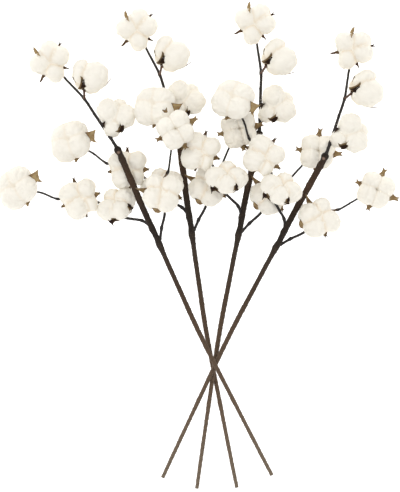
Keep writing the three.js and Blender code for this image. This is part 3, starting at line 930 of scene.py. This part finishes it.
def smooth_path(points, radii, step):
    """A centripetal curve through points, taken at even steps of its length, and the radius there. Each
    stretch is a cubic whose end slopes weigh the neighbours by the square root of their distance."""
    wide = np.concatenate([[2 * points[0] - points[1]], points, [2 * points[-1] - points[-2]]])
    gaps = np.sqrt(np.linalg.norm(np.diff(wide, axis=0), axis=1))[:, None]
    p0, p1, p2, p3 = wide[:-3], wide[1:-2], wide[2:-1], wide[3:]
    d0, d1, d2 = gaps[:-2], gaps[1:-1], gaps[2:]
    leave = ((p1 - p0) / d0 - (p2 - p0) / (d0 + d1) + (p2 - p1) / d1) * d1
    arrive = ((p2 - p1) / d1 - (p3 - p1) / (d1 + d2) + (p3 - p2) / d2) * d1
    t = np.linspace(0, 1, CURVE_STEPS, endpoint=False)[:, None, None]
    curve = (
        p1 + leave * t + (-3 * p1 + 3 * p2 - 2 * leave - arrive) * t**2
        + (2 * p1 - 2 * p2 + leave + arrive) * t**3
    )
    dense = np.concatenate([curve.transpose(1, 0, 2).reshape(-1, 3), points[-1:]])
    run = np.concatenate([[0], np.cumsum(np.linalg.norm(np.diff(dense, axis=0), axis=1))])
    shares = np.linspace(0, len(points) - 1, len(dense))
    at = np.linspace(0, run[-1], max(3, round(run[-1] / step) + 1))
    line = np.stack([np.interp(at, run, dense[:, k]) for k in range(3)], -1)
    return line, np.interp(np.interp(at, run, shares), np.arange(len(radii)), radii), at


def swept(line, radius, at, columns, detail):
    """A round shell along a line: rings square to it, whose radius is the line's own plus what detail
    gives for the place on the straightened stem."""
    tangent = unit(np.gradient(line, axis=0))
    side = unit(np.cross(tangent, [0, 0, 1]))
    up = np.cross(side, tangent)
    angle = np.linspace(0, 2 * np.pi, columns, endpoint=False)
    flat = np.stack([np.cos(angle), np.sin(angle)], -1)
    straight = np.concatenate([
        radius[:, None, None] * flat,
        np.broadcast_to(at[:, None, None], (len(at), columns, 1)),
    ], -1)
    reach = radius[:, None] + detail(straight, angle, at[:, None])
    rings = line[:, None] + reach[..., None] * (
        flat[None, :, :1] * side[:, None] + flat[None, :, 1:] * up[:, None]
    )
    return rings, straight


MAIN_STEP = 1.25
MAIN_COLUMNS = 22
# What a place is scaled by for the noise of the creases, across and along the spiral, and for that of the
# slow lumps, with their height.
WRINKLE_ACROSS = 0.9
WRINKLE_ALONG = 0.35
SLOW_HEIGHT = 0.22
SLOW_PLACES = [0.25, 0.25, 0.06]
# Lumps under the tape: [along, height, length].
LUMPS = [
    [58, 0.25, 5], [121, 0.3, 6], [203, 0.3, 5], [262, 0.35, 6], [361, 1.5, 6], [386, 0.9, 5],
    [431, 0.5, 6], [462, 0.6, 5], [492, 0.9, 3], [500, -0.5, 2.5], [507, 1.6, 3.2],
]
# The length over which the upper end rounds off, and the radius that is left there.
END_ROUND = 3.0
END_RADIUS = 0.6
# The pale scar on top of that end: [along, length, half width in degrees, its turn from the side].
SCAR = [503.5, 2.4, 40, 100]


def main_shell(stem_name, settings):
    """A main stem in its tape. Its radius has the tape's spiral steps, fine creases that run with the
    spiral, slow lumps and a few buds under the tape, and it rounds off at its upper end."""
    stem = STEMS[stem_name]
    pitch = settings.pitch * METRE
    _, places, radii = np.transpose(MAIN_ROUTE)
    points = to_bunch(stem, MAIN_ROUTE)
    points[:, 2] = height_along(stem, places)
    line, radius, at = smooth_path(points, radii, MAIN_STEP)
    length = at[-1]

    def detail(straight, angle, along):
        """The height of the tape's lap, creases and lumps over the stem's radius."""
        turns = along / pitch + angle / (2 * np.pi)
        lap = settings.lap * METRE * (turns % 1 - 0.5)
        spiral = np.concatenate([
            straight[..., :2] * WRINKLE_ACROSS, (turns * pitch * WRINKLE_ALONG)[..., None],
        ], -1)
        wrinkles = settings.wrinkle * METRE * noise(spiral)
        slow = SLOW_HEIGHT * noise(straight * SLOW_PLACES)
        lumps = sum(
            size * np.exp(-(((along - place) / width) ** 2)) * (0.75 + 0.35 * np.cos(angle - place))
            for place, size, width in LUMPS
        )
        left = np.clip((length - along) / END_ROUND, 0, 1)
        closing = np.sqrt(1 - (1 - left) ** 2) - 1
        return lap + wrinkles + slow + lumps + closing * (radius[:, None] - END_RADIUS)

    rings, straight = swept(line, radius, at, MAIN_COLUMNS, detail)
    scar_along, scar_length, scar_half, scar_turn = SCAR
    angle = np.linspace(0, 360, MAIN_COLUMNS, endpoint=False) - scar_turn
    scar = np.exp(-((angle / scar_half) ** 2) - ((at[:, None] - scar_along) / scar_length) ** 2)
    marks = {"straight": straight, "along": (at / length)[:, None], "scar": scar}
    return closed_shell(rings, marks).flipped().above_table()


TWIG_STEP = 1.5
TWIG_COLUMNS = 12
# A twig's swellings at its nodes, its rough bark, and its leaf scars.
NODE_SWELL = 0.75
NODE_LENGTH = 2.6
BARK_HEIGHT = 0.16
BARK_PLACES = [0.9, 0.9, 0.22]
GRIT_HEIGHT = 0.08
GRIT_SIZE = 1.1
SCAR_HEIGHT = 0.45
SCAR_LENGTH = 1.1
SCAR_SPACING = 17.0
SCAR_TURN = 2.4
# How much wider a twig and a stalk grow into a bur's foot, and over what length.
TWIG_FLARE = 0.8
STALK_FLARE = 0.9
FLARE_LENGTH = 7


def twig_shell(points, radii, nodes, stalk, flare):
    """A twig or a stalk: a swept round with swellings at its nodes, small one-sided leaf scars along it,
    rough bark, and a flare into the foot of the bur at its end. The stalk mark is 1 on a stalk."""
    line, radius, at = smooth_path(points, radii, TWIG_STEP)
    places = [at[np.argmin(np.linalg.norm(line - node, axis=1))] for node in nodes]

    def detail(straight, angle, along):
        """The height of the bark, the nodes, the scars and the flare over the twig's radius."""
        bark = BARK_HEIGHT * noise(straight * BARK_PLACES) + GRIT_HEIGHT * noise(straight * GRIT_SIZE)
        swell = sum(NODE_SWELL * np.exp(-(((along - place) / NODE_LENGTH) ** 2)) for place in places)
        turns = along / SCAR_SPACING
        scar = np.exp(-(((turns % 1 - 0.5) * SCAR_SPACING / SCAR_LENGTH) ** 2))
        scar = SCAR_HEIGHT * scar * smooth_step(0.2, 1, np.cos(angle - SCAR_TURN * np.floor(turns)))
        end = flare * smooth_step(FLARE_LENGTH, 0, at[-1] - along)
        return bark + swell + scar + end

    rings, straight = swept(line, radius, at, TWIG_COLUMNS, detail)
    return closed_shell(rings, {"straight": straight, "stalk": np.full((1, 1), stalk)}).flipped()


def to_bunch(stem, route):
    """A route's places across and along its stem, in the bunch's frame at height 0."""
    turn = np.radians(stem["turn"])
    across, along, _ = np.transpose(route)
    x = stem["cut_end"][0] + across * np.cos(turn) - along * np.sin(turn)
    y = stem["cut_end"][1] + across * np.sin(turn) + along * np.cos(turn)
    return np.stack([x, y, np.zeros(len(x))], -1)


def height_along(stem, along):
    """The main stem's height, on straight stretches between the stem's rises."""
    places, heights = np.transpose(stem["rise"])
    return np.interp(along, places, heights)


def climbed(stem, route, height, heart, crest_share=SETTLED, crest=None):
    """A route's points and the boll's heart: from one height to a crest after a share of the way in plan,
    and on to the heart."""
    plan = np.concatenate([to_bunch(stem, route), [heart]])
    steps = np.linalg.norm(np.diff(plan[:, :2], axis=0), axis=1)
    run = np.concatenate([[0], np.cumsum(steps)]) / steps.sum()
    top = heart[2] if crest is None else crest
    plan[:, 2] = np.interp(run, [0, crest_share, 1], [height, top, heart[2]])
    return plan


def radii_of(*routes):
    """The radii along climbed routes, each of which keeps its last radius on to the heart."""
    return [radius for route in routes for _, _, radius in [*route, route[-1]]]


def stalk_shell(start, boll):
    """The short stalk from a node of a twig to a boll's heart."""
    points = np.array([start, boll.neck, boll.heart])
    return twig_shell(points, [STALK] * 3, [start], stalk=1.0, flare=STALK_FLARE)


def twig_shells(stem_name, bolls):
    """The bark of each of a stem's branches, with the stalks on it, by the branch's name."""
    stem = STEMS[stem_name]
    top_start, left_start, right_start = height_along(
        stem, [route[0][1] for route in (TOP_ROUTE, LEFT_ROUTE, RIGHT_ROUTE)]
    )
    mid_heart = bolls["left_mid"].heart
    near_heart = bolls["right_near"].heart
    top = climbed(stem, TOP_ROUTE, top_start, bolls["tip"].heart)
    left = climbed(stem, LEFT_ROUTE, left_start, mid_heart, LEFT_CREST, stem.get("left_crest"))
    left_far = climbed(stem, LEFT_FAR_ROUTE, mid_heart[2], bolls["left_far"].heart)
    right = climbed(stem, RIGHT_ROUTE, right_start, near_heart)
    right_far = climbed(stem, RIGHT_FAR_ROUTE, near_heart[2], bolls["right_far"].heart)

    def twig(routes, parts, nodes):
        """The bare twig along one climbed route, or along two that follow each other."""
        return twig_shell(np.concatenate(parts), radii_of(*routes), nodes, stalk=0.0, flare=TWIG_FLARE)

    return {
        "top_twig": joined([
            twig([TOP_ROUTE], [top], [top[1], top[SHOULDER_NODE], top[UPPER_NODE]]),
            stalk_shell(top[UPPER_NODE], bolls["upper"]),
            stalk_shell(top[SHOULDER_NODE], bolls["shoulder"]),
        ]),
        "left_branch": joined([
            twig(
                [LEFT_ROUTE, LEFT_FAR_ROUTE], [left, left_far], [left[1], left[LEFT_NEAR_NODE], left_far[1]],
            ),
            stalk_shell(left[LEFT_NEAR_NODE], bolls["left_near"]),
        ]),
        "right_branch": twig([RIGHT_ROUTE, RIGHT_FAR_ROUTE], [right, right_far], [right[1], right_far[1]]),
    }


# ---------------------------------------------------------------- materials


class Amount:
    """A socket in a sum: the usual signs on it add the Math node that they stand for."""

    def __init__(self, finish, socket):
        self.finish = finish
        self.socket = socket

    def _with(self, operation, *values):
        """The Math node of an operation on some values, as an amount."""
        node = self.finish.node("ShaderNodeMath", {"operation": operation}, dict(enumerate(values)))
        return Amount(self.finish, node.outputs[0])

    def __add__(self, other):
        return self._with("ADD", self, other)

    def __radd__(self, other):
        return self._with("ADD", other, self)

    def __sub__(self, other):
        return self._with("SUBTRACT", self, other)

    def __rsub__(self, other):
        return self._with("SUBTRACT", other, self)

    def __mul__(self, other):
        return self._with("MULTIPLY", self, other)

    def __rmul__(self, other):
        return self._with("MULTIPLY", other, self)

    def __truediv__(self, other):
        return self._with("DIVIDE", self, other)

    def __rtruediv__(self, other):
        return self._with("DIVIDE", other, self)

    def fraction(self):
        """What is left of it over a whole number."""
        return self._with("FRACT", self)

    def angle_to(self, other):
        """The angle whose tangent is this amount over another, all the way round."""
        return self._with("ARCTAN2", self, other)

    def between(self, low, high):
        """0 under low, 1 over high, and an even slope between them."""
        node = self.finish.node("ShaderNodeMapRange", {"clamp": True}, {0: self, 1: low, 2: high})
        return Amount(self.finish, node.outputs[0])


class Finish:
    """A material and the nodes that make it. What is the same all over is set on the shader itself."""

    def __init__(self, name, **constants):
        self.material = bpy.data.materials.new(name)
        self.material.use_nodes = True
        self.nodes = self.material.node_tree.nodes
        self.links = self.material.node_tree.links
        self.shader = self.nodes["Principled BSDF"]
        for socket, value in constants.items():
            self.shader.inputs[socket.replace("_", " ")].default_value = value

    def node(self, kind, settings, sockets):
        """A node of a kind, with its settings first, then the value or link of each of its sockets."""
        node = self.nodes.new(kind)
        for name, value in settings.items():
            if name == "stops":
                self.set_stops(node.color_ramp, value)
            else:
                setattr(node, name, value)
        for socket, value in sockets.items():
            self.fill(node.inputs[socket], value)
        return node

    def fill(self, socket, value):
        """Links an amount or another node's socket to a socket, or sets its value."""
        if isinstance(value, Amount):
            self.links.new(value.socket, socket)
        elif isinstance(value, bpy.types.NodeSocket):
            self.links.new(value, socket)
        else:
            socket.default_value = value

    def set_stops(self, ramp, stops):
        """Gives a ramp its stops: a place and a colour each."""
        while len(ramp.elements) < len(stops):
            ramp.elements.new(0.5)
        for element, (place, colour) in zip(ramp.elements, stops):
            element.position = place
            element.color = (*colour, 1)

    def mark(self, name):
        """A number that the mesh holds for each of its points."""
        node = self.node("ShaderNodeAttribute", {"attribute_name": name}, {})
        return Amount(self, node.outputs["Fac"])

    def mark_vector(self, name):
        """A vector that the mesh holds for each of its points."""
        return self.node("ShaderNodeAttribute", {"attribute_name": name}, {}).outputs["Vector"]

    def place(self):
        """The place on the object, in metres."""
        return self.node("ShaderNodeTexCoord", {}, {}).outputs["Object"]

    def scaled(self, vector, scale):
        """A vector times a number along each axis."""
        node = self.node("ShaderNodeVectorMath", {"operation": "MULTIPLY"}, {0: vector, 1: scale})
        return node.outputs[0]

    def noise(self, vector, scale, detail=3.0, roughness=0.55, distortion=0.0):
        """Blender's own noise at a vector, about 0.5 on the whole."""
        node = self.node("ShaderNodeTexNoise", {}, {
            "Vector": vector, "Scale": scale, "Detail": detail, "Roughness": roughness,
            "Distortion": distortion,
        })
        return Amount(self, node.outputs["Fac"])

    def mixed(self, share, low, high):
        """One colour into another by a share."""
        node = self.node("ShaderNodeMix", {"data_type": "RGBA"}, {
            0: share, 6: self.colour(low), 7: self.colour(high),
        })
        return node.outputs[2]

    def colour(self, value):
        """A colour's socket as it is, or its three numbers with an alpha of 1."""
        return value if isinstance(value, bpy.types.NodeSocket) else (*value, 1)

    def ramp(self, amount, stops):
        """The colour at an amount, between stops."""
        return self.node("ShaderNodeValToRGB", {"stops": stops}, {0: amount}).outputs[0]

    def painted(self, colour, roughness, height, distance):
        """Links the colour, the roughness and a bump of a height in metres, and gives the material."""
        bump = self.node("ShaderNodeBump", {}, {"Height": height, "Distance": distance})
        self.fill(self.shader.inputs["Base Color"], colour)
        self.fill(self.shader.inputs["Roughness"], roughness)
        self.fill(self.shader.inputs["Normal"], bump.outputs[0])
        return self.material


# The tape's tone along the stem, as shares of the tape's length from the cut end.
TAPE_TONES = [
    (0.0, (0.175, 0.135, 0.096)), (0.14, (0.152, 0.110, 0.076)), (0.24, (0.125, 0.085, 0.056)),
    (0.47, (0.087, 0.055, 0.034)), (0.57, (0.061, 0.039, 0.025)), (0.67, (0.045, 0.031, 0.022)),
    (0.73, (0.019, 0.014, 0.011)), (0.80, (0.028, 0.018, 0.012)), (0.90, (0.055, 0.030, 0.017)),
    (0.97, (0.034, 0.021, 0.013)), (1.0, (0.010, 0.007, 0.006)),
]
TAPE_EDGE = (0.02, 0.015, 0.012)
TAPE_CREASE = (0.2, 0.15, 0.11)
TAPE_SCAR = (0.3, 0.2, 0.15)
WORN_BARK = (0.11, 0.085, 0.068)
BARK_PORE = (0.2, 0.15, 0.11)
HUSK_FIBRE = (0.075, 0.032, 0.017)
HUSK_BLOTCH = (0.17, 0.08, 0.035)
AGED_HUSK = (0.045, 0.014, 0.007)
HUSK_EDGE = (0.045, 0.018, 0.009)
HUSK_TIP = (0.02, 0.011, 0.007)


def cotton_finish(settings):
    """Matted lint: fine crossed fibres as a bump, and painted shade, a deeper colour, between the locks."""
    finish = Finish(
        "cotton_lint", Specular_IOR_Level=0.1,
        Sheen_Weight=0.3, Sheen_Roughness=0.6, Sheen_Tint=(1, 0.94, 0.84, 1),
    )
    place = finish.place()
    fibres = finish.noise(place, 900, 4, 0.62, 1.6)
    clumps = finish.noise(place, 210, 3, 0.55, 0.8)
    # Painted shade in the creases between the locks, with a little random tone from the clumps.
    depth = finish.mark("crease") * 0.75 + (0.5 - clumps) * 0.25
    colour = finish.mixed(depth.between(0, 1), settings.lint, settings.crease)
    height = fibres * 0.55 + clumps * 0.45
    return finish.painted(colour, 0.8 + fibres * 0.2, height, 0.0011)


def wrap_finish(settings):
    """Paper tape wound round the stem: its tone darkens towards the top, each turn's edge is darker, and
    its creases run with the spiral."""
    finish = Finish("stem_tape", Specular_IOR_Level=0.15, Sheen_Weight=0.05)
    straight = finish.mark_vector("straight")
    parts = finish.node("ShaderNodeSeparateXYZ", {}, {0: straight})
    x, y, z = (Amount(finish, output) for output in parts.outputs)
    lap = (z / (settings.pitch * METRE) + y.angle_to(x) / (2 * np.pi)).fraction()
    edge = lap.between(0.86, 1) * 0.5 + (1 - lap.between(0, 0.07)) * 0.5
    creases = finish.noise(finish.scaled(straight, (0.8, 0.8, 0.35)), 1.1, 5, 0.65, 0.4)
    mottle = finish.noise(finish.scaled(straight, (0.3, 0.3, 0.1)), 0.8, 3)
    tone = finish.ramp(finish.mark("along"), TAPE_TONES)
    dark = finish.mixed(edge * 0.6 + (0.5 - mottle) * 0.5, tone, TAPE_EDGE)
    pale = finish.mixed(creases.between(0.52, 0.78) * 0.35, dark, TAPE_CREASE)
    scarred = finish.mixed(finish.mark("scar").between(0.3, 0.9) * 0.8, pale, TAPE_SCAR)
    height = creases * 0.7 + lap * 0.4
    return finish.painted(scarred, 0.62 + creases * 0.3, height, 0.0006)


def bark_finish(settings):
    """Dry bark: near black on the twigs and redder on the stalks, with pale pores and a dull shine."""
    finish = Finish("twig_bark", Specular_IOR_Level=0.25)
    straight = finish.mark_vector("straight")
    grain = finish.noise(finish.scaled(straight, (1, 1, 0.15)), 1.3, 4, 0.6, 0.3)
    mottle = finish.noise(straight, 0.25, 3)
    pores = finish.node("ShaderNodeTexVoronoi", {}, {
        "Vector": finish.scaled(straight, (0.55, 0.55, 0.35)), "Scale": 1.0,
    })
    pore = 1 - Amount(finish, pores.outputs["Distance"]).between(0.1, 0.22)
    base = finish.mixed(finish.mark("stalk") * (0.55 + mottle * 0.5), settings.bark, settings.stalk)
    worn = finish.mixed(grain.between(0.5, 0.8) * 0.4, base, WORN_BARK)
    spotted = finish.mixed(pore * 0.35, worn, BARK_PORE)
    return finish.painted(spotted, 0.5 + grain * 0.35, grain * 0.7 + pore * 0.3, 0.0005)


def bur_finish(settings):
    """Dry husk: near black and fibrous outside, tan inside where it isn't aged, streaks from foot to tip,
    edges that are tan outside and dark inside, and a dark tip."""
    finish = Finish("bur_husk", Specular_IOR_Level=0.12)
    grain_place = finish.mark_vector("grain")
    streaks = finish.noise(finish.scaled(grain_place, (1.1, 1.1, 0.12)), 1.4, 4, 0.6, 0.5)
    blotch = finish.noise(finish.place(), 160, 3, 0.6)
    inside = finish.mark("inside").between(0.25, 0.75)
    outer = finish.mixed(streaks.between(0.5, 0.85), settings.outside, HUSK_FIBRE)
    tan = finish.mixed(blotch.between(0.4, 0.7) * 0.75, settings.inside, HUSK_BLOTCH)
    aged = finish.mixed(finish.mark("dark"), tan, AGED_HUSK)
    edge = finish.mark("rim") * blotch.between(0.3, 0.6)
    outer = finish.mixed(edge * 0.7, outer, tan)
    edged = finish.mixed(edge * 0.75, aged, HUSK_EDGE)
    skin = finish.mixed(inside, outer, edged)
    tip = finish.mark("along").between(0.8, 0.97) * 0.85
    colour = finish.mixed(tip, skin, HUSK_TIP)
    return finish.painted(colour, 0.75 - inside * 0.15 + streaks * 0.15, streaks, 0.0006)


def floor_finish(settings):
    """A plain pale matt floor with a faint glow, as a light table has."""
    return Finish(
        "pale_floor", Base_Color=(*settings.floor, 1), Roughness=0.9, Specular_IOR_Level=0.0,
        Emission_Color=(1, 1, 1, 1), Emission_Strength=0.8,
    ).material


# ---------------------------------------------------------------- operators


def bolls_of(stem_name, names=tuple(BOLLS)):
    """Some of a stem's bolls, or all of them, by their names."""
    return {name: PlacedBoll(stem_name, name) for name in names}


class COTTON_OT_wrapped_stems(Operator):
    """Adds the taped main stems"""

    bl_idname = "cotton.wrapped_stems"
    bl_label = "Wrapped stems"

    def execute(self, context):
        settings = context.scene.stem_settings
        finish = wrap_finish(settings)
        for stem_name in STEMS:
            shell = main_shell(stem_name, settings)
            add_piece(f"{stem_name}_tape", shell, finish, [f"{stem_name}_main"])
        return {"FINISHED"}


class COTTON_OT_twigs(Operator):
    """Adds the bark of the twigs, branches and stalks"""

    bl_idname = "cotton.twigs"
    bl_label = "Twigs"

    def execute(self, context):
        finish = bark_finish(context.scene.stem_settings)
        for stem_name in STEMS:
            for branch, shell in twig_shells(stem_name, bolls_of(stem_name)).items():
                node = f"{stem_name}_{branch}"
                add_piece(f"{node}_bark", shell.above_table(), finish, [node])
        return {"FINISHED"}


class COTTON_OT_burs(Operator):
    """Adds the dry burs that the cotton sits in"""

    bl_idname = "cotton.burs"
    bl_label = "Burs"

    def execute(self, context):
        settings = context.scene.bur_settings
        finish = bur_finish(settings)
        shells = {name: bur_shell(name, settings) for name in BOLLS}
        branches = {"top_twig": TOP_BOLLS, "left_branch": LEFT_BOLLS, "right_branch": RIGHT_BOLLS}
        for stem_name in STEMS:
            for branch, names in branches.items():
                bolls = bolls_of(stem_name, names)
                placed = [shells[name].placed(bolls[name].turn, bolls[name].middle) for name in names]
                node = f"{stem_name}_{branch}"
                add_piece(f"{node}_burs", joined(placed).above_table(), finish, [node])
        return {"FINISHED"}


class COTTON_OT_cotton(Operator):
    """Adds the cotton of every boll"""

    bl_idname = "cotton.cotton"
    bl_label = "Cotton"

    def execute(self, context):
        settings = context.scene.cotton_settings
        finish = cotton_finish(settings)
        shells = {name: cotton_shell(name, settings) for name in BOLLS}
        for stem_name in STEMS:
            for name, boll in bolls_of(stem_name).items():
                node = f"{stem_name}_cotton_{name}"
                shell = shells[name].placed(boll.turn, boll.middle).above_table()
                add_piece(f"{node}_lint", shell, finish, [node])
        return {"FINISHED"}


# The middle of the camera's view on the table, and the height that its scale is true at.
VIEW_CENTRE = (0.0027, -0.0032)
TRUE_HEIGHT = 0.03
SENSOR = 36.0
FLOOR_HALF = 20.0
# The lights from above: [name, its setting, tilt about x, y and z, whether it casts a shadow].
LIGHTS = [["soft_lamp", "lamp", [-28, -22, 0], True], ["fill", "fill", [0, 0, 0], False]]
LIGHT_ANGLE = 50


class COTTON_OT_stage(Operator):
    """Adds the floor, the light and the camera"""

    bl_idname = "cotton.stage"
    bl_label = "Stage"

    def execute(self, context):
        settings = context.scene.stage_settings
        self.add_floor(settings)
        self.add_light(settings)
        self.add_camera(settings)
        return {"FINISHED"}

    def add_floor(self, settings):
        """A flat square under the bunch."""
        mesh = bpy.data.meshes.new("floor")
        corners = [(x * FLOOR_HALF, y * FLOOR_HALF, 0) for x, y in ((-1, -1), (1, -1), (1, 1), (-1, 1))]
        mesh.from_pydata(corners, [], [(0, 1, 2, 3)])
        mesh.materials.append(floor_finish(settings))
        floor = bpy.data.objects.new("floor", mesh)
        bpy.context.scene.collection.objects.link(floor)

    def add_light(self, settings):
        """An even sky and two lamps from above."""
        world = bpy.data.worlds.new("sky")
        world.use_nodes = True
        background = world.node_tree.nodes["Background"]
        background.inputs["Color"].default_value = (1, 1, 1, 1)
        background.inputs["Strength"].default_value = settings.sky
        bpy.context.scene.world = world
        for name, setting, tilt, shadow in LIGHTS:
            lamp = bpy.data.lights.new(name, "SUN")
            lamp.energy = getattr(settings, setting)
            lamp.angle = np.radians(LIGHT_ANGLE)
            lamp.use_shadow = shadow
            holder = bpy.data.objects.new(name, lamp)
            holder.rotation_euler = np.radians(tilt)
            bpy.context.scene.collection.objects.link(holder)

    def add_camera(self, settings):
        """A camera straight above the table, whose view is as high as its setting."""
        data = bpy.data.cameras.new("camera")
        data.sensor_width = SENSOR
        data.lens = SENSOR * (settings.camera_height - TRUE_HEIGHT) / settings.view_height
        data.clip_start = 0.1
        data.clip_end = settings.camera_height * 3
        camera = bpy.data.objects.new("camera", data)
        camera.location = (*VIEW_CENTRE, settings.camera_height)
        bpy.context.scene.collection.objects.link(camera)
        bpy.context.scene.camera = camera
        bpy.context.scene.view_settings.view_transform = "Standard"


class COTTON_PT_panel(Panel):
    """Lists the pieces of the cotton bunch and their sizes and colours"""

    bl_idname = "COTTON_PT_panel"
    bl_label = "Cotton stem bunch"
    bl_space_type = "VIEW_3D"
    bl_region_type = "UI"
    bl_category = "Cotton"

    def draw(self, context):
        for operator, group in STEPS:
            box = self.layout.box()
            box.operator(operator.bl_idname)
            for name in getattr(PROPERTIES[group], "__annotations__"):
                box.prop(getattr(context.scene, group), name)


PROPERTIES = {
    "stem_settings": StemSettings,
    "bur_settings": BurSettings,
    "cotton_settings": CottonSettings,
    "stage_settings": StageSettings,
}
STEPS = [
    (COTTON_OT_wrapped_stems, "stem_settings"),
    (COTTON_OT_twigs, "stem_settings"),
    (COTTON_OT_burs, "bur_settings"),
    (COTTON_OT_cotton, "cotton_settings"),
    (COTTON_OT_stage, "stage_settings"),
]
CLASSES = [*PROPERTIES.values(), *(operator for operator, _ in STEPS), COTTON_PT_panel]


def register():
    """Makes the classes known, and gives the scene their settings."""
    for item in CLASSES:
        bpy.utils.register_class(item)
    for name, group in PROPERTIES.items():
        setattr(bpy.types.Scene, name, PointerProperty(type=group))


def unregister():
    """Takes back what register did."""
    for name in PROPERTIES:
        delattr(bpy.types.Scene, name)
    for item in reversed(CLASSES):
        bpy.utils.unregister_class(item)


def main():
    """Adds every piece and the stage."""
    register()
    bpy.ops.cotton.wrapped_stems()
    bpy.ops.cotton.twigs()
    bpy.ops.cotton.burs()
    bpy.ops.cotton.cotton()
    bpy.ops.cotton.stage()
    bpy.context.view_layer.update()


if __name__ == "__main__":
    main()
